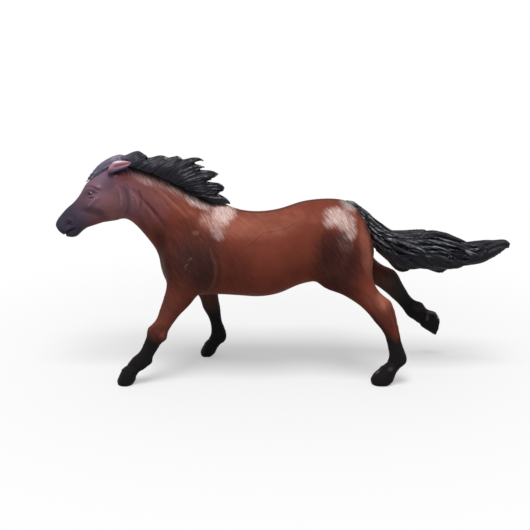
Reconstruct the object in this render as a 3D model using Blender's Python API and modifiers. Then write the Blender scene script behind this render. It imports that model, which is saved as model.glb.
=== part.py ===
"""Toy horse at full gallop, a hand-sized farm figure.

Two hollow body halves meet at the middle plane. Legs, ears, forelock, mane and tail are separate
mouldings that plug into them. +Z is up, the head points to -X and the left side to -Y.
"""
import math
from collections import namedtuple

import bmesh
import bpy
from mathutils import Matrix, Vector

MM = 0.001

# Driving sizes of the trunk, in the side view
trunk_length = 75.0 * MM
trunk_depth = 35.5 * MM
belly_height = 29.0 * MM
barrel_half_width = 15.7 * MM

# Neck and head
neck_reach = 39.0 * MM
neck_rise = 46.0 * MM
neck_half_width = 9.8 * MM
head_reach = 24.2 * MM
head_drop = 29.6 * MM
head_half_width = 6.3 * MM
ear_half_width = 1.5 * MM

# Legs: how far each hoof reaches from its root, and how far the hooves stand from the middle
left_fore_reach = 24.2 * MM
right_fore_reach = 13.5 * MM
left_hind_reach = 24.0 * MM
right_hind_reach = 38.6 * MM
hoof_spread = 14.0 * MM
thigh_half_width = 6.6 * MM

# Hair
mane_half_width = 4.2 * MM
tail_reach = 60.0 * MM
tail_drop = 27.5 * MM
tail_half_width = 6.2 * MM

# Walls, gaps and plugs
wall = 2.4 * MM
joint_gap = 0.3 * MM
fit_clearance = 0.3 * MM
leg_plug_radius = 1.7 * MM
leg_plug_length = 6.0 * MM
tail_plug_radius = 2.2 * MM
tail_plug_length = 7.0 * MM
hair_plug_radius = 1.0 * MM
hair_plug_length = 4.0 * MM
ear_plug_radius = 0.8 * MM
ear_plug_length = 2.6 * MM
pin_radius = 1.2 * MM
pin_length = 3.0 * MM
boss_radius = 2.8 * MM

# Mesh fineness
body_voxel = 0.75 * MM
hair_voxel = 0.55 * MM
body_triangles = 5600
mane_triangles = 1300
tail_triangles = 1200
loft_sides = 24
slim_loft_sides = 12
plug_sides = 12
row_steps = 4
slim_row_steps = 2
smoothing_steps = 3

# Places along the trunk, as shares of its length from the chest
chest_share = 0.564
neck_root_share = 0.324
left_fore_root_share = 0.084
right_fore_root_share = 0.11
hind_root_share = 0.844
dock_share = 0.857
# Heights in the trunk, as shares of its depth above the belly
neck_root_height_share = 0.14
dock_height_share = 0.986

# Each row below is one oval: its upper (or front) edge point, its lower (or rear) edge point,
# both as x and z shares, then the share that its centre stands aside and its half width's share.
trunk_shares = (
    (0.000, 0.690, 0.000, 0.150, 0.0, 0.57),
    (0.048, 0.830, 0.048, 0.070, 0.0, 0.71),
    (0.096, 0.905, 0.096, 0.030, 0.0, 0.80),
    (0.168, 0.950, 0.168, 0.010, 0.0, 0.89),
    (0.255, 0.945, 0.255, 0.020, 0.0, 0.95),
    (0.360, 0.885, 0.360, 0.010, 0.0, 0.98),
    (0.456, 0.870, 0.456, 0.000, 0.0, 1.00),
    (0.552, 0.900, 0.552, 0.035, 0.0, 0.96),
    (0.647, 0.970, 0.647, 0.125, 0.0, 0.88),
    (0.743, 1.000, 0.743, 0.165, 0.0, 0.88),
    (0.839, 0.995, 0.839, 0.200, 0.0, 0.85),
    (0.887, 0.960, 0.887, 0.205, 0.0, 0.79),
    (0.936, 0.885, 0.936, 0.230, 0.0, 0.68),
    (0.975, 0.720, 0.975, 0.290, 0.0, 0.53),
    (1.000, 0.540, 1.000, 0.370, 0.0, 0.30),
)
neck_shares = (
    (0.00, 0.610, 0.59, 0.030, 0.0, 1.02),
    (0.10, 0.645, 0.66, 0.087, 0.0, 1.00),
    (0.23, 0.695, 0.67, 0.174, 0.0, 0.92),
    (0.36, 0.765, 0.70, 0.260, 0.0, 0.82),
    (0.49, 0.840, 0.76, 0.335, 0.0, 0.73),
    (0.62, 0.905, 0.83, 0.409, 0.0, 0.65),
    (0.76, 0.945, 0.90, 0.474, 0.0, 0.59),
    (0.89, 0.970, 0.97, 0.513, 0.0, 0.55),
    (1.00, 0.975, 1.05, 0.530, 0.0, 0.50),
)
head_shares = (
    (-0.10, 0.06, -0.10, 0.66, 0.0, 0.79),
    (0.06, 0.05, -0.02, 0.757, 0.0, 0.90),
    (0.19, 0.10, 0.125, 0.79, 0.0, 0.96),
    (0.31, 0.17, 0.27, 0.804, 0.0, 1.00),
    (0.43, 0.26, 0.37, 0.831, 0.0, 0.97),
    (0.533, 0.345, 0.45, 0.855, 0.0, 0.84),
    (0.608, 0.453, 0.533, 0.878, 0.0, 0.70),
    (0.708, 0.554, 0.608, 0.926, 0.0, 0.61),
    (0.817, 0.628, 0.675, 0.983, 0.0, 0.58),
    (0.917, 0.720, 0.77, 1.00, 0.0, 0.60),
    (0.983, 0.790, 0.84, 0.975, 0.0, 0.53),
    (1.000, 0.850, 0.925, 0.926, 0.0, 0.30),
)
ear_shares = (
    (0.17, 0.15, 0.12, 0.24, 0.70, 0.70),
    (0.14, 0.085, 0.10, 0.185, 0.72, 1.00),
    (0.07, 0.037, 0.03, 0.150, 0.74, 1.00),
    (-0.02, 0.020, -0.05, 0.130, 0.76, 0.90),
    (-0.11, 0.025, -0.13, 0.095, 0.78, 0.60),
    (-0.17, 0.035, -0.18, 0.055, 0.79, 0.25),
)
forelock_shares = (
    (-0.02, -0.01, 0.00, 0.12, 0.0, 0.36),
    (0.08, 0.005, 0.10, 0.15, 0.0, 0.42),
    (0.20, 0.055, 0.18, 0.18, 0.0, 0.44),
    (0.32, 0.120, 0.28, 0.24, 0.0, 0.40),
    (0.42, 0.200, 0.37, 0.30, 0.0, 0.30),
    (0.50, 0.290, 0.46, 0.34, 0.0, 0.14),
)
left_fore_shares = (
    (-0.10, 1.95, -0.30, 1.95, 0.30, 0.70),
    (0.25, 1.70, -0.40, 1.70, 0.46, 0.90),
    (0.24, 1.50, -0.40, 1.46, 0.60, 0.90),
    (0.20, 1.30, -0.33, 1.24, 0.66, 0.80),
    (0.27, 1.07, -0.20, 1.045, 0.74, 0.65),
    (0.31, 0.962, 0.004, 0.876, 0.80, 0.53),
    (0.372, 0.814, 0.132, 0.741, 0.87, 0.44),
    (0.492, 0.700, 0.215, 0.628, 0.91, 0.41),
    (0.521, 0.603, 0.289, 0.528, 0.94, 0.37),
    (0.579, 0.483, 0.364, 0.421, 0.96, 0.34),
    (0.645, 0.390, 0.434, 0.331, 0.98, 0.34),
    (0.725, 0.345, 0.468, 0.260, 0.99, 0.40),
    (0.805, 0.255, 0.555, 0.185, 1.00, 0.42),
    (0.892, 0.180, 0.648, 0.150, 1.00, 0.50),
    (0.946, 0.083, 0.682, 0.072, 1.00, 0.60),
    (1.030, -0.060, 0.715, -0.060, 1.00, 0.64),
)
right_fore_shares = (
    (-0.30, 1.95, 0.50, 1.95, 0.30, 0.70),
    (-0.48, 1.70, 0.65, 1.70, 0.46, 0.90),
    (-0.50, 1.45, 0.70, 1.40, 0.60, 0.86),
    (-0.40, 1.22, 0.76, 1.18, 0.70, 0.74),
    (-0.12, 1.05, 0.77, 1.05, 0.78, 0.62),
    (0.10, 0.930, 0.75, 0.930, 0.82, 0.53),
    (0.237, 0.810, 0.77, 0.797, 0.87, 0.45),
    (0.319, 0.659, 0.815, 0.672, 0.92, 0.42),
    (0.444, 0.552, 0.83, 0.562, 0.95, 0.37),
    (0.511, 0.452, 0.859, 0.455, 0.97, 0.34),
    (0.533, 0.355, 0.948, 0.352, 0.98, 0.38),
    (0.511, 0.266, 0.985, 0.240, 0.99, 0.41),
    (0.425, 0.214, 0.905, 0.175, 1.00, 0.43),
    (0.356, 0.159, 0.77, 0.145, 1.00, 0.50),
    (0.237, 0.069, 0.696, 0.076, 1.00, 0.60),
    (0.140, -0.060, 0.57, -0.060, 1.00, 0.64),
)
left_hind_shares = (
    (-0.20, 2.05, 0.30, 2.00, 0.35, 0.80),
    (-0.37, 1.80, 0.42, 1.80, 0.48, 0.98),
    (-0.40, 1.517, 0.458, 1.552, 0.58, 1.00),
    (-0.36, 1.240, 0.45, 1.334, 0.66, 0.90),
    (-0.033, 1.128, 0.483, 1.255, 0.72, 0.75),
    (0.192, 1.017, 0.571, 1.141, 0.79, 0.61),
    (0.342, 0.924, 0.692, 1.083, 0.86, 0.48),
    (0.454, 0.810, 0.763, 0.983, 0.90, 0.43),
    (0.550, 0.721, 0.817, 0.807, 0.93, 0.37),
    (0.625, 0.628, 0.854, 0.676, 0.95, 0.35),
    (0.675, 0.490, 0.896, 0.524, 0.97, 0.34),
    (0.704, 0.359, 0.967, 0.372, 0.99, 0.40),
    (0.672, 0.275, 0.985, 0.285, 1.00, 0.41),
    (0.605, 0.215, 0.885, 0.215, 1.00, 0.46),
    (0.515, 0.145, 0.825, 0.150, 1.00, 0.56),
    (0.450, 0.080, 0.803, 0.078, 1.00, 0.62),
    (0.405, -0.060, 0.745, -0.060, 1.00, 0.65),
)
right_hind_shares = (
    (-0.12, 1.98, 0.18, 1.98, 0.35, 0.80),
    (-0.22, 1.724, 0.259, 1.793, 0.48, 0.98),
    (-0.20, 1.448, 0.298, 1.517, 0.58, 0.98),
    (-0.052, 1.207, 0.324, 1.414, 0.63, 0.85),
    (0.155, 1.086, 0.363, 1.345, 0.67, 0.70),
    (0.324, 1.028, 0.427, 1.276, 0.71, 0.55),
    (0.422, 0.941, 0.503, 1.238, 0.73, 0.47),
    (0.492, 0.866, 0.560, 1.200, 0.75, 0.43),
    (0.562, 0.772, 0.609, 1.079, 0.77, 0.38),
    (0.604, 0.717, 0.658, 0.948, 0.78, 0.35),
    (0.645, 0.641, 0.705, 0.845, 0.79, 0.35),
    (0.684, 0.569, 0.762, 0.779, 0.80, 0.40),
    (0.738, 0.524, 0.813, 0.759, 0.80, 0.41),
    (0.790, 0.470, 0.855, 0.676, 0.81, 0.45),
    (0.842, 0.405, 0.912, 0.641, 0.82, 0.53),
    (0.905, 0.355, 0.959, 0.621, 0.82, 0.61),
    (0.958, 0.305, 1.000, 0.538, 0.82, 0.63),
    (0.990, 0.290, 1.035, 0.500, 0.82, 0.63),
)
mane_band_shares = (
    (0.940, 1.005, 0.936, 0.913, 0.0, 0.60),
    (0.870, 1.030, 0.870, 0.900, 0.0, 0.95),
    (0.800, 1.020, 0.820, 0.885, 0.0, 1.00),
    (0.733, 0.991, 0.756, 0.870, 0.0, 1.00),
    (0.626, 1.000, 0.654, 0.843, 0.0, 1.02),
    (0.526, 0.983, 0.564, 0.800, 0.0, 1.05),
    (0.420, 0.945, 0.474, 0.755, 0.0, 1.08),
    (0.310, 0.880, 0.379, 0.715, 0.0, 1.08),
    (0.205, 0.785, 0.282, 0.675, 0.0, 1.05),
    (0.115, 0.700, 0.179, 0.640, 0.0, 0.90),
    (0.041, 0.650, 0.067, 0.615, 0.0, 0.45),
)
# Tufts that stand up and back from the mane's band, from the poll to the withers
mane_tuft_shares = (
    (
        (0.900, 1.010, 0.870, 0.940, 0.0, 0.50),
        (0.860, 1.045, 0.825, 0.970, 0.0, 0.45),
        (0.810, 1.035, 0.800, 1.005, 0.0, 0.15),
    ),
    (
        (0.690, 0.985, 0.660, 0.930, 0.0, 0.50),
        (0.645, 1.010, 0.615, 0.960, 0.0, 0.45),
        (0.590, 1.000, 0.585, 0.980, 0.0, 0.15),
    ),
    (
        (0.550, 0.980, 0.520, 0.920, 0.0, 0.50),
        (0.500, 1.002, 0.475, 0.950, 0.0, 0.45),
        (0.445, 0.990, 0.440, 0.970, 0.0, 0.15),
    ),
    (
        (0.470, 0.940, 0.450, 0.860, 0.0, 0.45),
        (0.400, 0.975, 0.400, 0.920, 0.0, 0.35),
        (0.330, 0.992, 0.335, 0.963, 0.0, 0.25),
        (0.280, 0.992, 0.283, 0.980, 0.0, 0.12),
    ),
    (
        (0.430, 0.940, 0.440, 0.840, 0.0, 0.60),
        (0.340, 0.948, 0.350, 0.865, 0.0, 0.45),
        (0.262, 0.937, 0.270, 0.912, 0.0, 0.15),
    ),
    (
        (0.380, 0.900, 0.400, 0.760, 0.0, 0.75),
        (0.280, 0.888, 0.300, 0.785, 0.0, 0.60),
        (0.180, 0.880, 0.195, 0.818, 0.0, 0.40),
        (0.115, 0.862, 0.120, 0.848, 0.0, 0.14),
    ),
    (
        (0.280, 0.810, 0.310, 0.690, 0.0, 0.75),
        (0.190, 0.788, 0.210, 0.700, 0.0, 0.60),
        (0.110, 0.768, 0.125, 0.715, 0.0, 0.40),
        (0.064, 0.750, 0.068, 0.736, 0.0, 0.14),
    ),
    (
        (0.190, 0.710, 0.220, 0.630, 0.0, 0.75),
        (0.110, 0.688, 0.130, 0.630, 0.0, 0.60),
        (0.050, 0.668, 0.060, 0.628, 0.0, 0.40),
        (0.020, 0.645, 0.022, 0.634, 0.0, 0.14),
    ),
)
tail_band_shares = (
    (0.000, 0.090, 0.133, 0.580, 0.0, 0.40),
    (0.090, 0.085, 0.173, 0.580, 0.0, 0.48),
    (0.152, 0.178, 0.200, 0.670, 0.0, 0.58),
    (0.212, 0.298, 0.258, 0.764, 0.0, 0.70),
    (0.273, 0.385, 0.317, 0.870, 0.0, 0.82),
    (0.350, 0.410, 0.375, 0.920, 0.0, 0.92),
    (0.440, 0.400, 0.458, 0.902, 0.0, 1.00),
    (0.542, 0.429, 0.567, 0.924, 0.0, 1.00),
    (0.633, 0.476, 0.673, 0.916, 0.0, 0.93),
    (0.742, 0.560, 0.790, 0.855, 0.0, 0.80),
    (0.825, 0.556, 0.880, 0.811, 0.0, 0.62),
    (0.903, 0.549, 0.955, 0.705, 0.0, 0.42),
    (0.970, 0.530, 0.990, 0.640, 0.0, 0.22),
    (1.000, 0.570, 1.003, 0.600, 0.0, 0.08),
)
# Locks that leave the tail's band: two under it and a wisp above
tail_lock_shares = (
    (
        (0.240, 0.700, 0.270, 0.810, 0.0, 0.40),
        (0.310, 0.800, 0.320, 0.930, 0.0, 0.35),
        (0.370, 0.960, 0.367, 0.985, 0.0, 0.10),
    ),
    (
        (0.470, 0.780, 0.460, 0.900, 0.0, 0.50),
        (0.540, 0.860, 0.530, 0.955, 0.0, 0.40),
        (0.600, 0.975, 0.595, 0.995, 0.0, 0.10),
    ),
    (
        (0.370, 0.400, 0.370, 0.520, 0.0, 0.45),
        (0.440, 0.375, 0.440, 0.470, 0.0, 0.35),
        (0.495, 0.400, 0.490, 0.420, 0.0, 0.10),
    ),
)
# How much narrower an oval is at its top than at its bottom
trunk_egg_share = 0.08
neck_egg_share = 0.34
head_egg_share = 0.04
leg_egg_share = 0.0
band_egg_share = 0.25

# Where the pieces meet, counted in rows of their tables from the first
leg_seam_row = 5
raised_sole_row = 16
hollow_rows = (2, 10)
# Mane seams and the mane's plugs, front to rear, counted in rows of the neck from the withers
mane_seam_rows = (6.1, 4.3)
mane_plug_rows = ((6.9, 6.5), (5.6, 4.9), (3.2, 1.8))
forelock_plug_row = 1.9
ear_plug_row = 1.5
tail_plug_row = 2
# The locating pins: a row of the trunk or neck, and the share of the height of its oval
trunk_pins = ((3.6, 0.62), (6.7, 0.33), (7.8, 0.68))
neck_pin = (5.0, 0.50)


# Coat colours and finishes of the painted pieces
bay_coat = (0.196, 0.058, 0.032, 1.0)
dark_points = (0.030, 0.018, 0.016, 1.0)
brown_points = (0.070, 0.030, 0.022, 1.0)
black_hair = (0.012, 0.011, 0.012, 1.0)
ear_pink = (0.420, 0.150, 0.090, 1.0)
coat_roughness = 0.42
hair_roughness = 0.35
crease_angle = math.radians(35.0)

Row = namedtuple("Row", "upper lower side half_width")
Region = namedtuple("Region", "root reach rise spread half_width")
Rod = namedtuple("Rod", "start end radius")

ahead = Vector((1.0, 0.0, 0.0))
sideways = Vector((0.0, 1.0, 0.0))
upward = Vector((0.0, 0.0, 1.0))


def make_collection(name):
    """A new collection in the scene."""
    group = bpy.data.collections.new(name)
    bpy.context.scene.collection.children.link(group)
    return group


def find_regions():
    """Where each table of shares is rooted, and the sizes that it follows."""
    chest = ahead * (-chest_share * trunk_length)
    belly = chest + upward * belly_height

    def along(share):
        return chest + ahead * (share * trunk_length)

    def on_trunk(share, height_share):
        return along(share) + upward * (belly_height + height_share * trunk_depth)

    def leg(share, reach, side):
        return Region(along(share), reach, belly_height, side * hoof_spread, thigh_half_width)

    neck_root = on_trunk(neck_root_share, neck_root_height_share)
    poll = neck_root - ahead * neck_reach + upward * neck_rise
    dock = on_trunk(dock_share, dock_height_share)
    return {
        "trunk": Region(belly, trunk_length, trunk_depth, 0.0, barrel_half_width),
        "neck": Region(neck_root, -neck_reach, neck_rise, 0.0, neck_half_width),
        "head": Region(poll, -head_reach, -head_drop, 0.0, head_half_width),
        "left_ear": Region(poll, -head_reach, -head_drop, -head_half_width, ear_half_width),
        "right_ear": Region(poll, -head_reach, -head_drop, head_half_width, ear_half_width),
        "mane": Region(neck_root, -neck_reach, neck_rise, 0.0, mane_half_width),
        "tail": Region(dock, tail_reach, -tail_drop, 0.0, tail_half_width),
        "left_fore": leg(left_fore_root_share, -left_fore_reach, -1),
        "right_fore": leg(right_fore_root_share, right_fore_reach, 1),
        "left_hind": leg(hind_root_share, left_hind_reach, -1),
        "right_hind": leg(hind_root_share, right_hind_reach, 1),
    }


def rows_of(shares, region):
    """The ovals of a table of shares, in real sizes."""
    rows = []
    for upper_x, upper_z, lower_x, lower_z, side, half_width in shares:
        upper = region.root + ahead * (upper_x * region.reach) + upward * (upper_z * region.rise)
        lower = region.root + ahead * (lower_x * region.reach) + upward * (lower_z * region.rise)
        rows.append(Row(upper, lower, side * region.spread, half_width * region.half_width))
    return rows


def between(before, one, other, after, t):
    """A value on the smooth curve from one to other."""
    pull = 2.0 * before - 5.0 * one + 4.0 * other - after
    return one + 0.5 * t * (other - before + t * (pull + t * (3.0 * (one - other) + after - before)))


def row_at(rows, place):
    """The oval at a place counted in rows, which may lie between two."""
    first = min(int(place), len(rows) - 2)
    four = [rows[min(max(first + i, 0), len(rows) - 1)] for i in (-1, 0, 1, 2)]
    return Row(*(between(*values, place - first) for values in zip(*four)))


def smooth_rows(rows, steps):
    """The rows with more ovals between them."""
    return [row_at(rows, i / steps) for i in range((len(rows) - 1) * steps + 1)]


def centre_of(row):
    """The middle of an oval."""
    return (row.upper + row.lower) / 2.0 + sideways * row.side


def as_guide(bm, name):
    """A hidden helper object from a bmesh, whose faces may line a hollow."""
    mesh = bpy.data.meshes.new(name)
    bm.to_mesh(mesh)
    bm.free()
    guide = bpy.data.objects.new(name, mesh)
    guide.hide_render = True
    guide.display_type = "WIRE"
    cutters.objects.link(guide)
    return guide


def as_solid_guide(bm, name):
    """A hidden helper object from a bmesh without hollows, its faces turned outwards."""
    bmesh.ops.recalc_face_normals(bm, faces=bm.faces)
    return as_guide(bm, name)


def joined(name, pieces):
    """One helper that holds the meshes of several."""
    bm = bmesh.new()
    for piece in pieces:
        bm.from_mesh(piece.data)
    return as_guide(bm, name)


def take_modifiers(piece):
    """Gives a piece the mesh that its modifiers make."""
    graph = bpy.context.evaluated_depsgraph_get()
    mesh = bpy.data.meshes.new_from_object(piece.evaluated_get(graph))
    piece.modifiers.clear()
    piece.data = mesh


def ring(bm, row, egg_share, points):
    """One oval of vertices, narrower at its top by the egg share."""
    rise = (row.upper - row.lower) / 2.0
    verts = []
    for i in range(points):
        along = math.cos(math.tau * i / points)
        across = math.sin(math.tau * i / points) * (1.0 - egg_share * along)
        verts.append(bm.verts.new(centre_of(row) + rise * along + sideways * (row.half_width * across)))
    return verts


def loft(name, rows, egg_share=0.0, points=loft_sides, steps=row_steps):
    """A closed skin through the ovals of a table."""
    bm = bmesh.new()
    rings = [ring(bm, row, egg_share, points) for row in smooth_rows(rows, steps)]
    for one, other in zip(rings, rings[1:]):
        for i in range(points):
            j = (i + 1) % points
            bm.faces.new((one[i], one[j], other[j], other[i]))
    bm.faces.new(rings[0])
    bm.faces.new(rings[-1])
    return as_solid_guide(bm, name)


def slim_loft(name, rows):
    """A loft with fewer sides, for an ear or a tuft."""
    return loft(name, rows, points=slim_loft_sides, steps=slim_row_steps)


def box(name, centre, axes, half_size):
    """A cube turned to three axes."""
    turn = Matrix(axes).transposed().to_4x4()
    place = Matrix.Translation(centre) @ turn @ Matrix.Scale(2.0 * half_size, 4)
    bm = bmesh.new()
    bmesh.ops.create_cube(bm, size=1.0, matrix=place)
    return as_solid_guide(bm, name)


def beyond(rows, place, half_size, start, aside=0.0):
    """A cube that holds all past one oval of a table, from a start measured onward of it."""
    row = row_at(rows, place)
    across = (row.upper - row.lower).normalized()
    onward = across.cross(sideways)
    if onward.dot(centre_of(row_at(rows, place + 1)) - centre_of(row)) < 0.0:
        onward = -onward
    middle = (row.upper + row.lower) / 2.0 + onward * (half_size + start) + sideways * aside
    return box("beyond", middle, (across, sideways, onward), half_size)


def rod(shape, clearance=0.0):
    """A round rod, or the hole for it when there is a clearance."""
    way = (shape.end - shape.start).normalized()
    end = shape.end + way * clearance
    turn = way.to_track_quat("Z", "Y").to_matrix().to_4x4()
    bm = bmesh.new()
    bmesh.ops.create_cone(
        bm,
        cap_ends=True,
        segments=plug_sides,
        radius1=shape.radius + clearance,
        radius2=shape.radius + clearance,
        depth=(end - shape.start).length,
        matrix=Matrix.Translation((shape.start + end) / 2.0) @ turn,
    )
    return as_solid_guide(bm, "rod")


def fuse(name, lofts, voxel, triangles):
    """One closed skin round lofts that run into each other, softened where they meet."""
    skin = joined(name, lofts)
    remesh = skin.modifiers.new("Fuse", "REMESH")
    remesh.mode = "VOXEL"
    remesh.voxel_size = voxel
    soften = skin.modifiers.new("Soften", "SMOOTH")
    soften.iterations = smoothing_steps
    take_modifiers(skin)
    thin = skin.modifiers.new("Thin", "DECIMATE")
    thin.ratio = triangles / (2 * len(skin.data.polygons))
    thin.use_collapse_triangulate = True
    take_modifiers(skin)
    return skin


def swollen(piece, by):
    """A copy of a helper with its surface moved out."""
    copy = joined("swollen_" + piece.name, [piece])
    push = copy.modifiers.new("Push", "DISPLACE")
    push.mid_level = 0.0
    push.strength = by
    take_modifiers(copy)
    return copy


def cut(piece, tool, operation="DIFFERENCE"):
    """Cuts a piece by a tool, keeps what both hold, or joins the tool to it."""
    modifier = piece.modifiers.new("Cut", "BOOLEAN")
    modifier.operation = operation
    modifier.object = tool
    take_modifiers(piece)


def keep_main_body(piece):
    """Drops the crumbs that a cut leaves beside the main body."""
    bm = bmesh.new()
    bm.from_mesh(piece.data)
    seen = set()
    bodies = []
    for first in bm.verts:
        if first in seen:
            continue
        body = [first]
        seen.add(first)
        for vert in body:
            for edge in vert.link_edges:
                other = edge.other_vert(vert)
                if other not in seen:
                    seen.add(other)
                    body.append(other)
        bodies.append(body)
    bodies.sort(key=len)
    crumbs = [vert for body in bodies[:-1] for vert in body]
    bmesh.ops.delete(bm, geom=crumbs, context="VERTS")
    bm.to_mesh(piece.data)
    bm.free()


def painted(name, colour, roughness):
    """A painted plastic finish."""
    material = bpy.data.materials.new(name)
    material.use_nodes = True
    shader = material.node_tree.nodes["Principled BSDF"]
    shader.inputs["Base Color"].default_value = colour
    shader.inputs["Roughness"].default_value = roughness
    shader.inputs["Metallic"].default_value = 0.0
    material.diffuse_color = colour
    return material


def finish(piece, name, seat, colour, roughness):
    """Makes a piece a named part of the figure, with its origin at its seat."""
    keep_main_body(piece)
    mesh = piece.data
    mesh.name = name
    mesh.transform(Matrix.Translation(-seat))
    mesh.materials.clear()
    mesh.materials.append(painted(name + "_paint", colour, roughness))
    mesh.shade_smooth()
    mesh.set_sharp_from_angle(angle=crease_angle)
    bpy.data.objects.remove(piece)
    part = bpy.data.objects.new(name, mesh)
    part.location = seat
    part.parent = figure
    parts.objects.link(part)


def add_plug(piece, bodies, shape):
    """Gives a piece a plug, and the bodies that it enters the hole for it."""
    cut(piece, rod(shape), "UNION")
    for body in bodies:
        cut(body, rod(shape, fit_clearance))


def edge_plug(rows, place):
    """A hair plug that enters the neck or the head square to its upper edge."""
    row = row_at(rows, place)
    way = (row.lower - row.upper).normalized()
    return Rod(row.upper - way * hair_plug_radius, row.upper + way * hair_plug_length, hair_plug_radius)


def make_skin():
    """The closed skin of trunk, neck, head and legs, as it is before the soles are cut."""
    tables = (
        ("trunk", trunk_shares, trunk_egg_share),
        ("neck", neck_shares, neck_egg_share),
        ("head", head_shares, head_egg_share),
        ("left_fore", left_fore_shares, leg_egg_share),
        ("right_fore", right_fore_shares, leg_egg_share),
        ("left_hind", left_hind_shares, leg_egg_share),
        ("right_hind", right_hind_shares, leg_egg_share),
    )
    lofts = [loft(name, rows_of(shares, regions[name]), egg) for name, shares, egg in tables]
    return fuse("skin", lofts, body_voxel, body_triangles)


def cut_soles(skin):
    """Three hooves stand flat on the floor, and the raised one has a flat sole too."""
    floor = box("floor", upward * -trunk_length, (ahead, sideways, upward), trunk_length)
    raised = rows_of(right_hind_shares, regions["right_hind"])
    cut(skin, floor)
    cut(skin, beyond(raised, raised_sole_row, belly_height, 0.0, belly_height))


def make_legs(skin):
    """Cuts the legs off the skin. Returns each one's name, side, piece, plug and colour."""
    tables = (
        ("left_fore", "left", left_fore_shares, bay_coat),
        ("right_fore", "right", right_fore_shares, dark_points),
        ("left_hind", "left", left_hind_shares, bay_coat),
        ("right_hind", "right", right_hind_shares, brown_points),
    )
    legs = []
    whole = joined("whole", [skin])
    for name, side, shares, colour in tables:
        rows = rows_of(shares, regions[name])
        aside = math.copysign(belly_height, rows[0].side)
        leg = joined(name, [whole])
        cut(leg, beyond(rows, leg_seam_row, belly_height, 0.0, aside), "INTERSECT")
        cut(skin, beyond(rows, leg_seam_row, belly_height, -joint_gap, aside))
        seat = centre_of(row_at(rows, leg_seam_row))
        way = (centre_of(row_at(rows, leg_seam_row - 1)) - seat).normalized()
        plug = Rod(seat - way * leg_plug_radius, seat + way * leg_plug_length, leg_plug_radius)
        legs.append((name + "_leg", side, leg, plug, colour))
    return legs


def make_hollow():
    """The space inside the barrel, a wall's thickness within it."""
    rows = []
    for row in rows_of(trunk_shares, regions["trunk"])[slice(*hollow_rows)]:
        inset = (row.upper - row.lower).normalized() * wall
        rows.append(Row(row.upper - inset, row.lower + inset, row.side, row.half_width - wall))
    return loft("hollow", rows, trunk_egg_share)


def rod_across(row, height_share, half_length, radius):
    """A rod from side to side through an oval."""
    middle = row.lower.lerp(row.upper, height_share)
    return Rod(middle - sideways * half_length, middle + sideways * half_length, radius)


def make_halves(skin):
    """Hollows the body, adds the bosses and parts it at the middle plane, with pins and their holes."""
    trunk = rows_of(trunk_shares, regions["trunk"])
    neck = rows_of(neck_shares, regions["neck"])
    cut(skin, make_hollow())
    pins = [rod_across(row_at(neck, neck_pin[0]), neck_pin[1], pin_length, pin_radius)]
    for place, height_share in trunk_pins:
        row = row_at(trunk, place)
        half_depth = (row.upper - row.lower).length / 2.0
        off_centre = abs(2.0 * height_share - 1.0) + boss_radius / half_depth
        narrowing = math.sqrt(1.0 - off_centre * off_centre) * (1.0 - trunk_egg_share)
        reach = row.half_width * narrowing - joint_gap
        cut(skin, rod(rod_across(row, height_share, reach, boss_radius)), "UNION")
        pins.append(rod_across(row, height_share, pin_length, pin_radius))
    halves = {}
    for side, sign in (("left", 1.0), ("right", -1.0)):
        half = joined(side, [skin])
        offset = sign * (2.0 * trunk_length - joint_gap / 2.0)
        cut(half, box("other_side", sideways * offset, (ahead, sideways, upward), 2.0 * trunk_length))
        keep_main_body(half)
        halves[side] = half
    for pin in pins:
        cut(halves["left"], rod(pin), "UNION")
        cut(halves["right"], rod(pin, fit_clearance))
    return halves


def fit_ears(halves, clear_skin):
    """The pinned ears, each with a small plug towards the middle of the head."""
    head = rows_of(head_shares, regions["head"])
    ears = []
    for side, half in halves.items():
        rows = rows_of(ear_shares, regions[side + "_ear"])
        ear = slim_loft(side + "_ear", rows)
        cut(ear, clear_skin)
        ears.append(swollen(ear, joint_gap))
        start = centre_of(row_at(rows, ear_plug_row))
        way = (centre_of(row_at(head, forelock_plug_row)) - start).normalized()
        add_plug(ear, [half], Rod(start, start + way * ear_plug_length, ear_plug_radius))
        finish(ear, side + "_ear", start, ear_pink, coat_roughness)
    return ears


def fit_forelock(halves, clear_skin):
    """The forelock, blown back between the ears."""
    head = rows_of(head_shares, regions["head"])
    forelock = slim_loft("forelock", rows_of(forelock_shares, regions["head"]))
    cut(forelock, clear_skin)
    clear = swollen(forelock, joint_gap)
    plug = edge_plug(head, forelock_plug_row)
    add_plug(forelock, halves.values(), plug)
    finish(forelock, "forelock", plug.start, black_hair, hair_roughness)
    return clear


def fit_mane(halves, obstacles):
    """The mane's three mouldings, parted where its tufts part."""
    neck = rows_of(neck_shares, regions["neck"])
    lofts = [loft("band", rows_of(mane_band_shares, regions["mane"]), band_egg_share)]
    for shares in mane_tuft_shares:
        lofts.append(slim_loft("tuft", rows_of(shares, regions["mane"])))
    mane = fuse("mane", lofts, hair_voxel, mane_triangles)
    for obstacle in obstacles:
        cut(mane, obstacle)

    def past(place, start):
        return beyond(neck, place, neck_rise, start)

    front_seam, rear_seam = mane_seam_rows
    half_gap = joint_gap / 2.0
    steps = (
        ("mane_front", [(past(front_seam, half_gap), "INTERSECT")]),
        ("mane_middle", [(past(front_seam, -half_gap), "DIFFERENCE"), (past(rear_seam, half_gap), "INTERSECT")]),
        ("mane_rear", [(past(rear_seam, -half_gap), "DIFFERENCE")]),
    )
    for (name, cuts), places in zip(steps, mane_plug_rows):
        piece = joined(name, [mane])
        for block, operation in cuts:
            cut(piece, block, operation)
        keep_main_body(piece)
        plugs = [edge_plug(neck, place) for place in places]
        for plug in plugs:
            add_plug(piece, halves.values(), plug)
        finish(piece, name, plugs[0].start, black_hair, hair_roughness)


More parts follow.
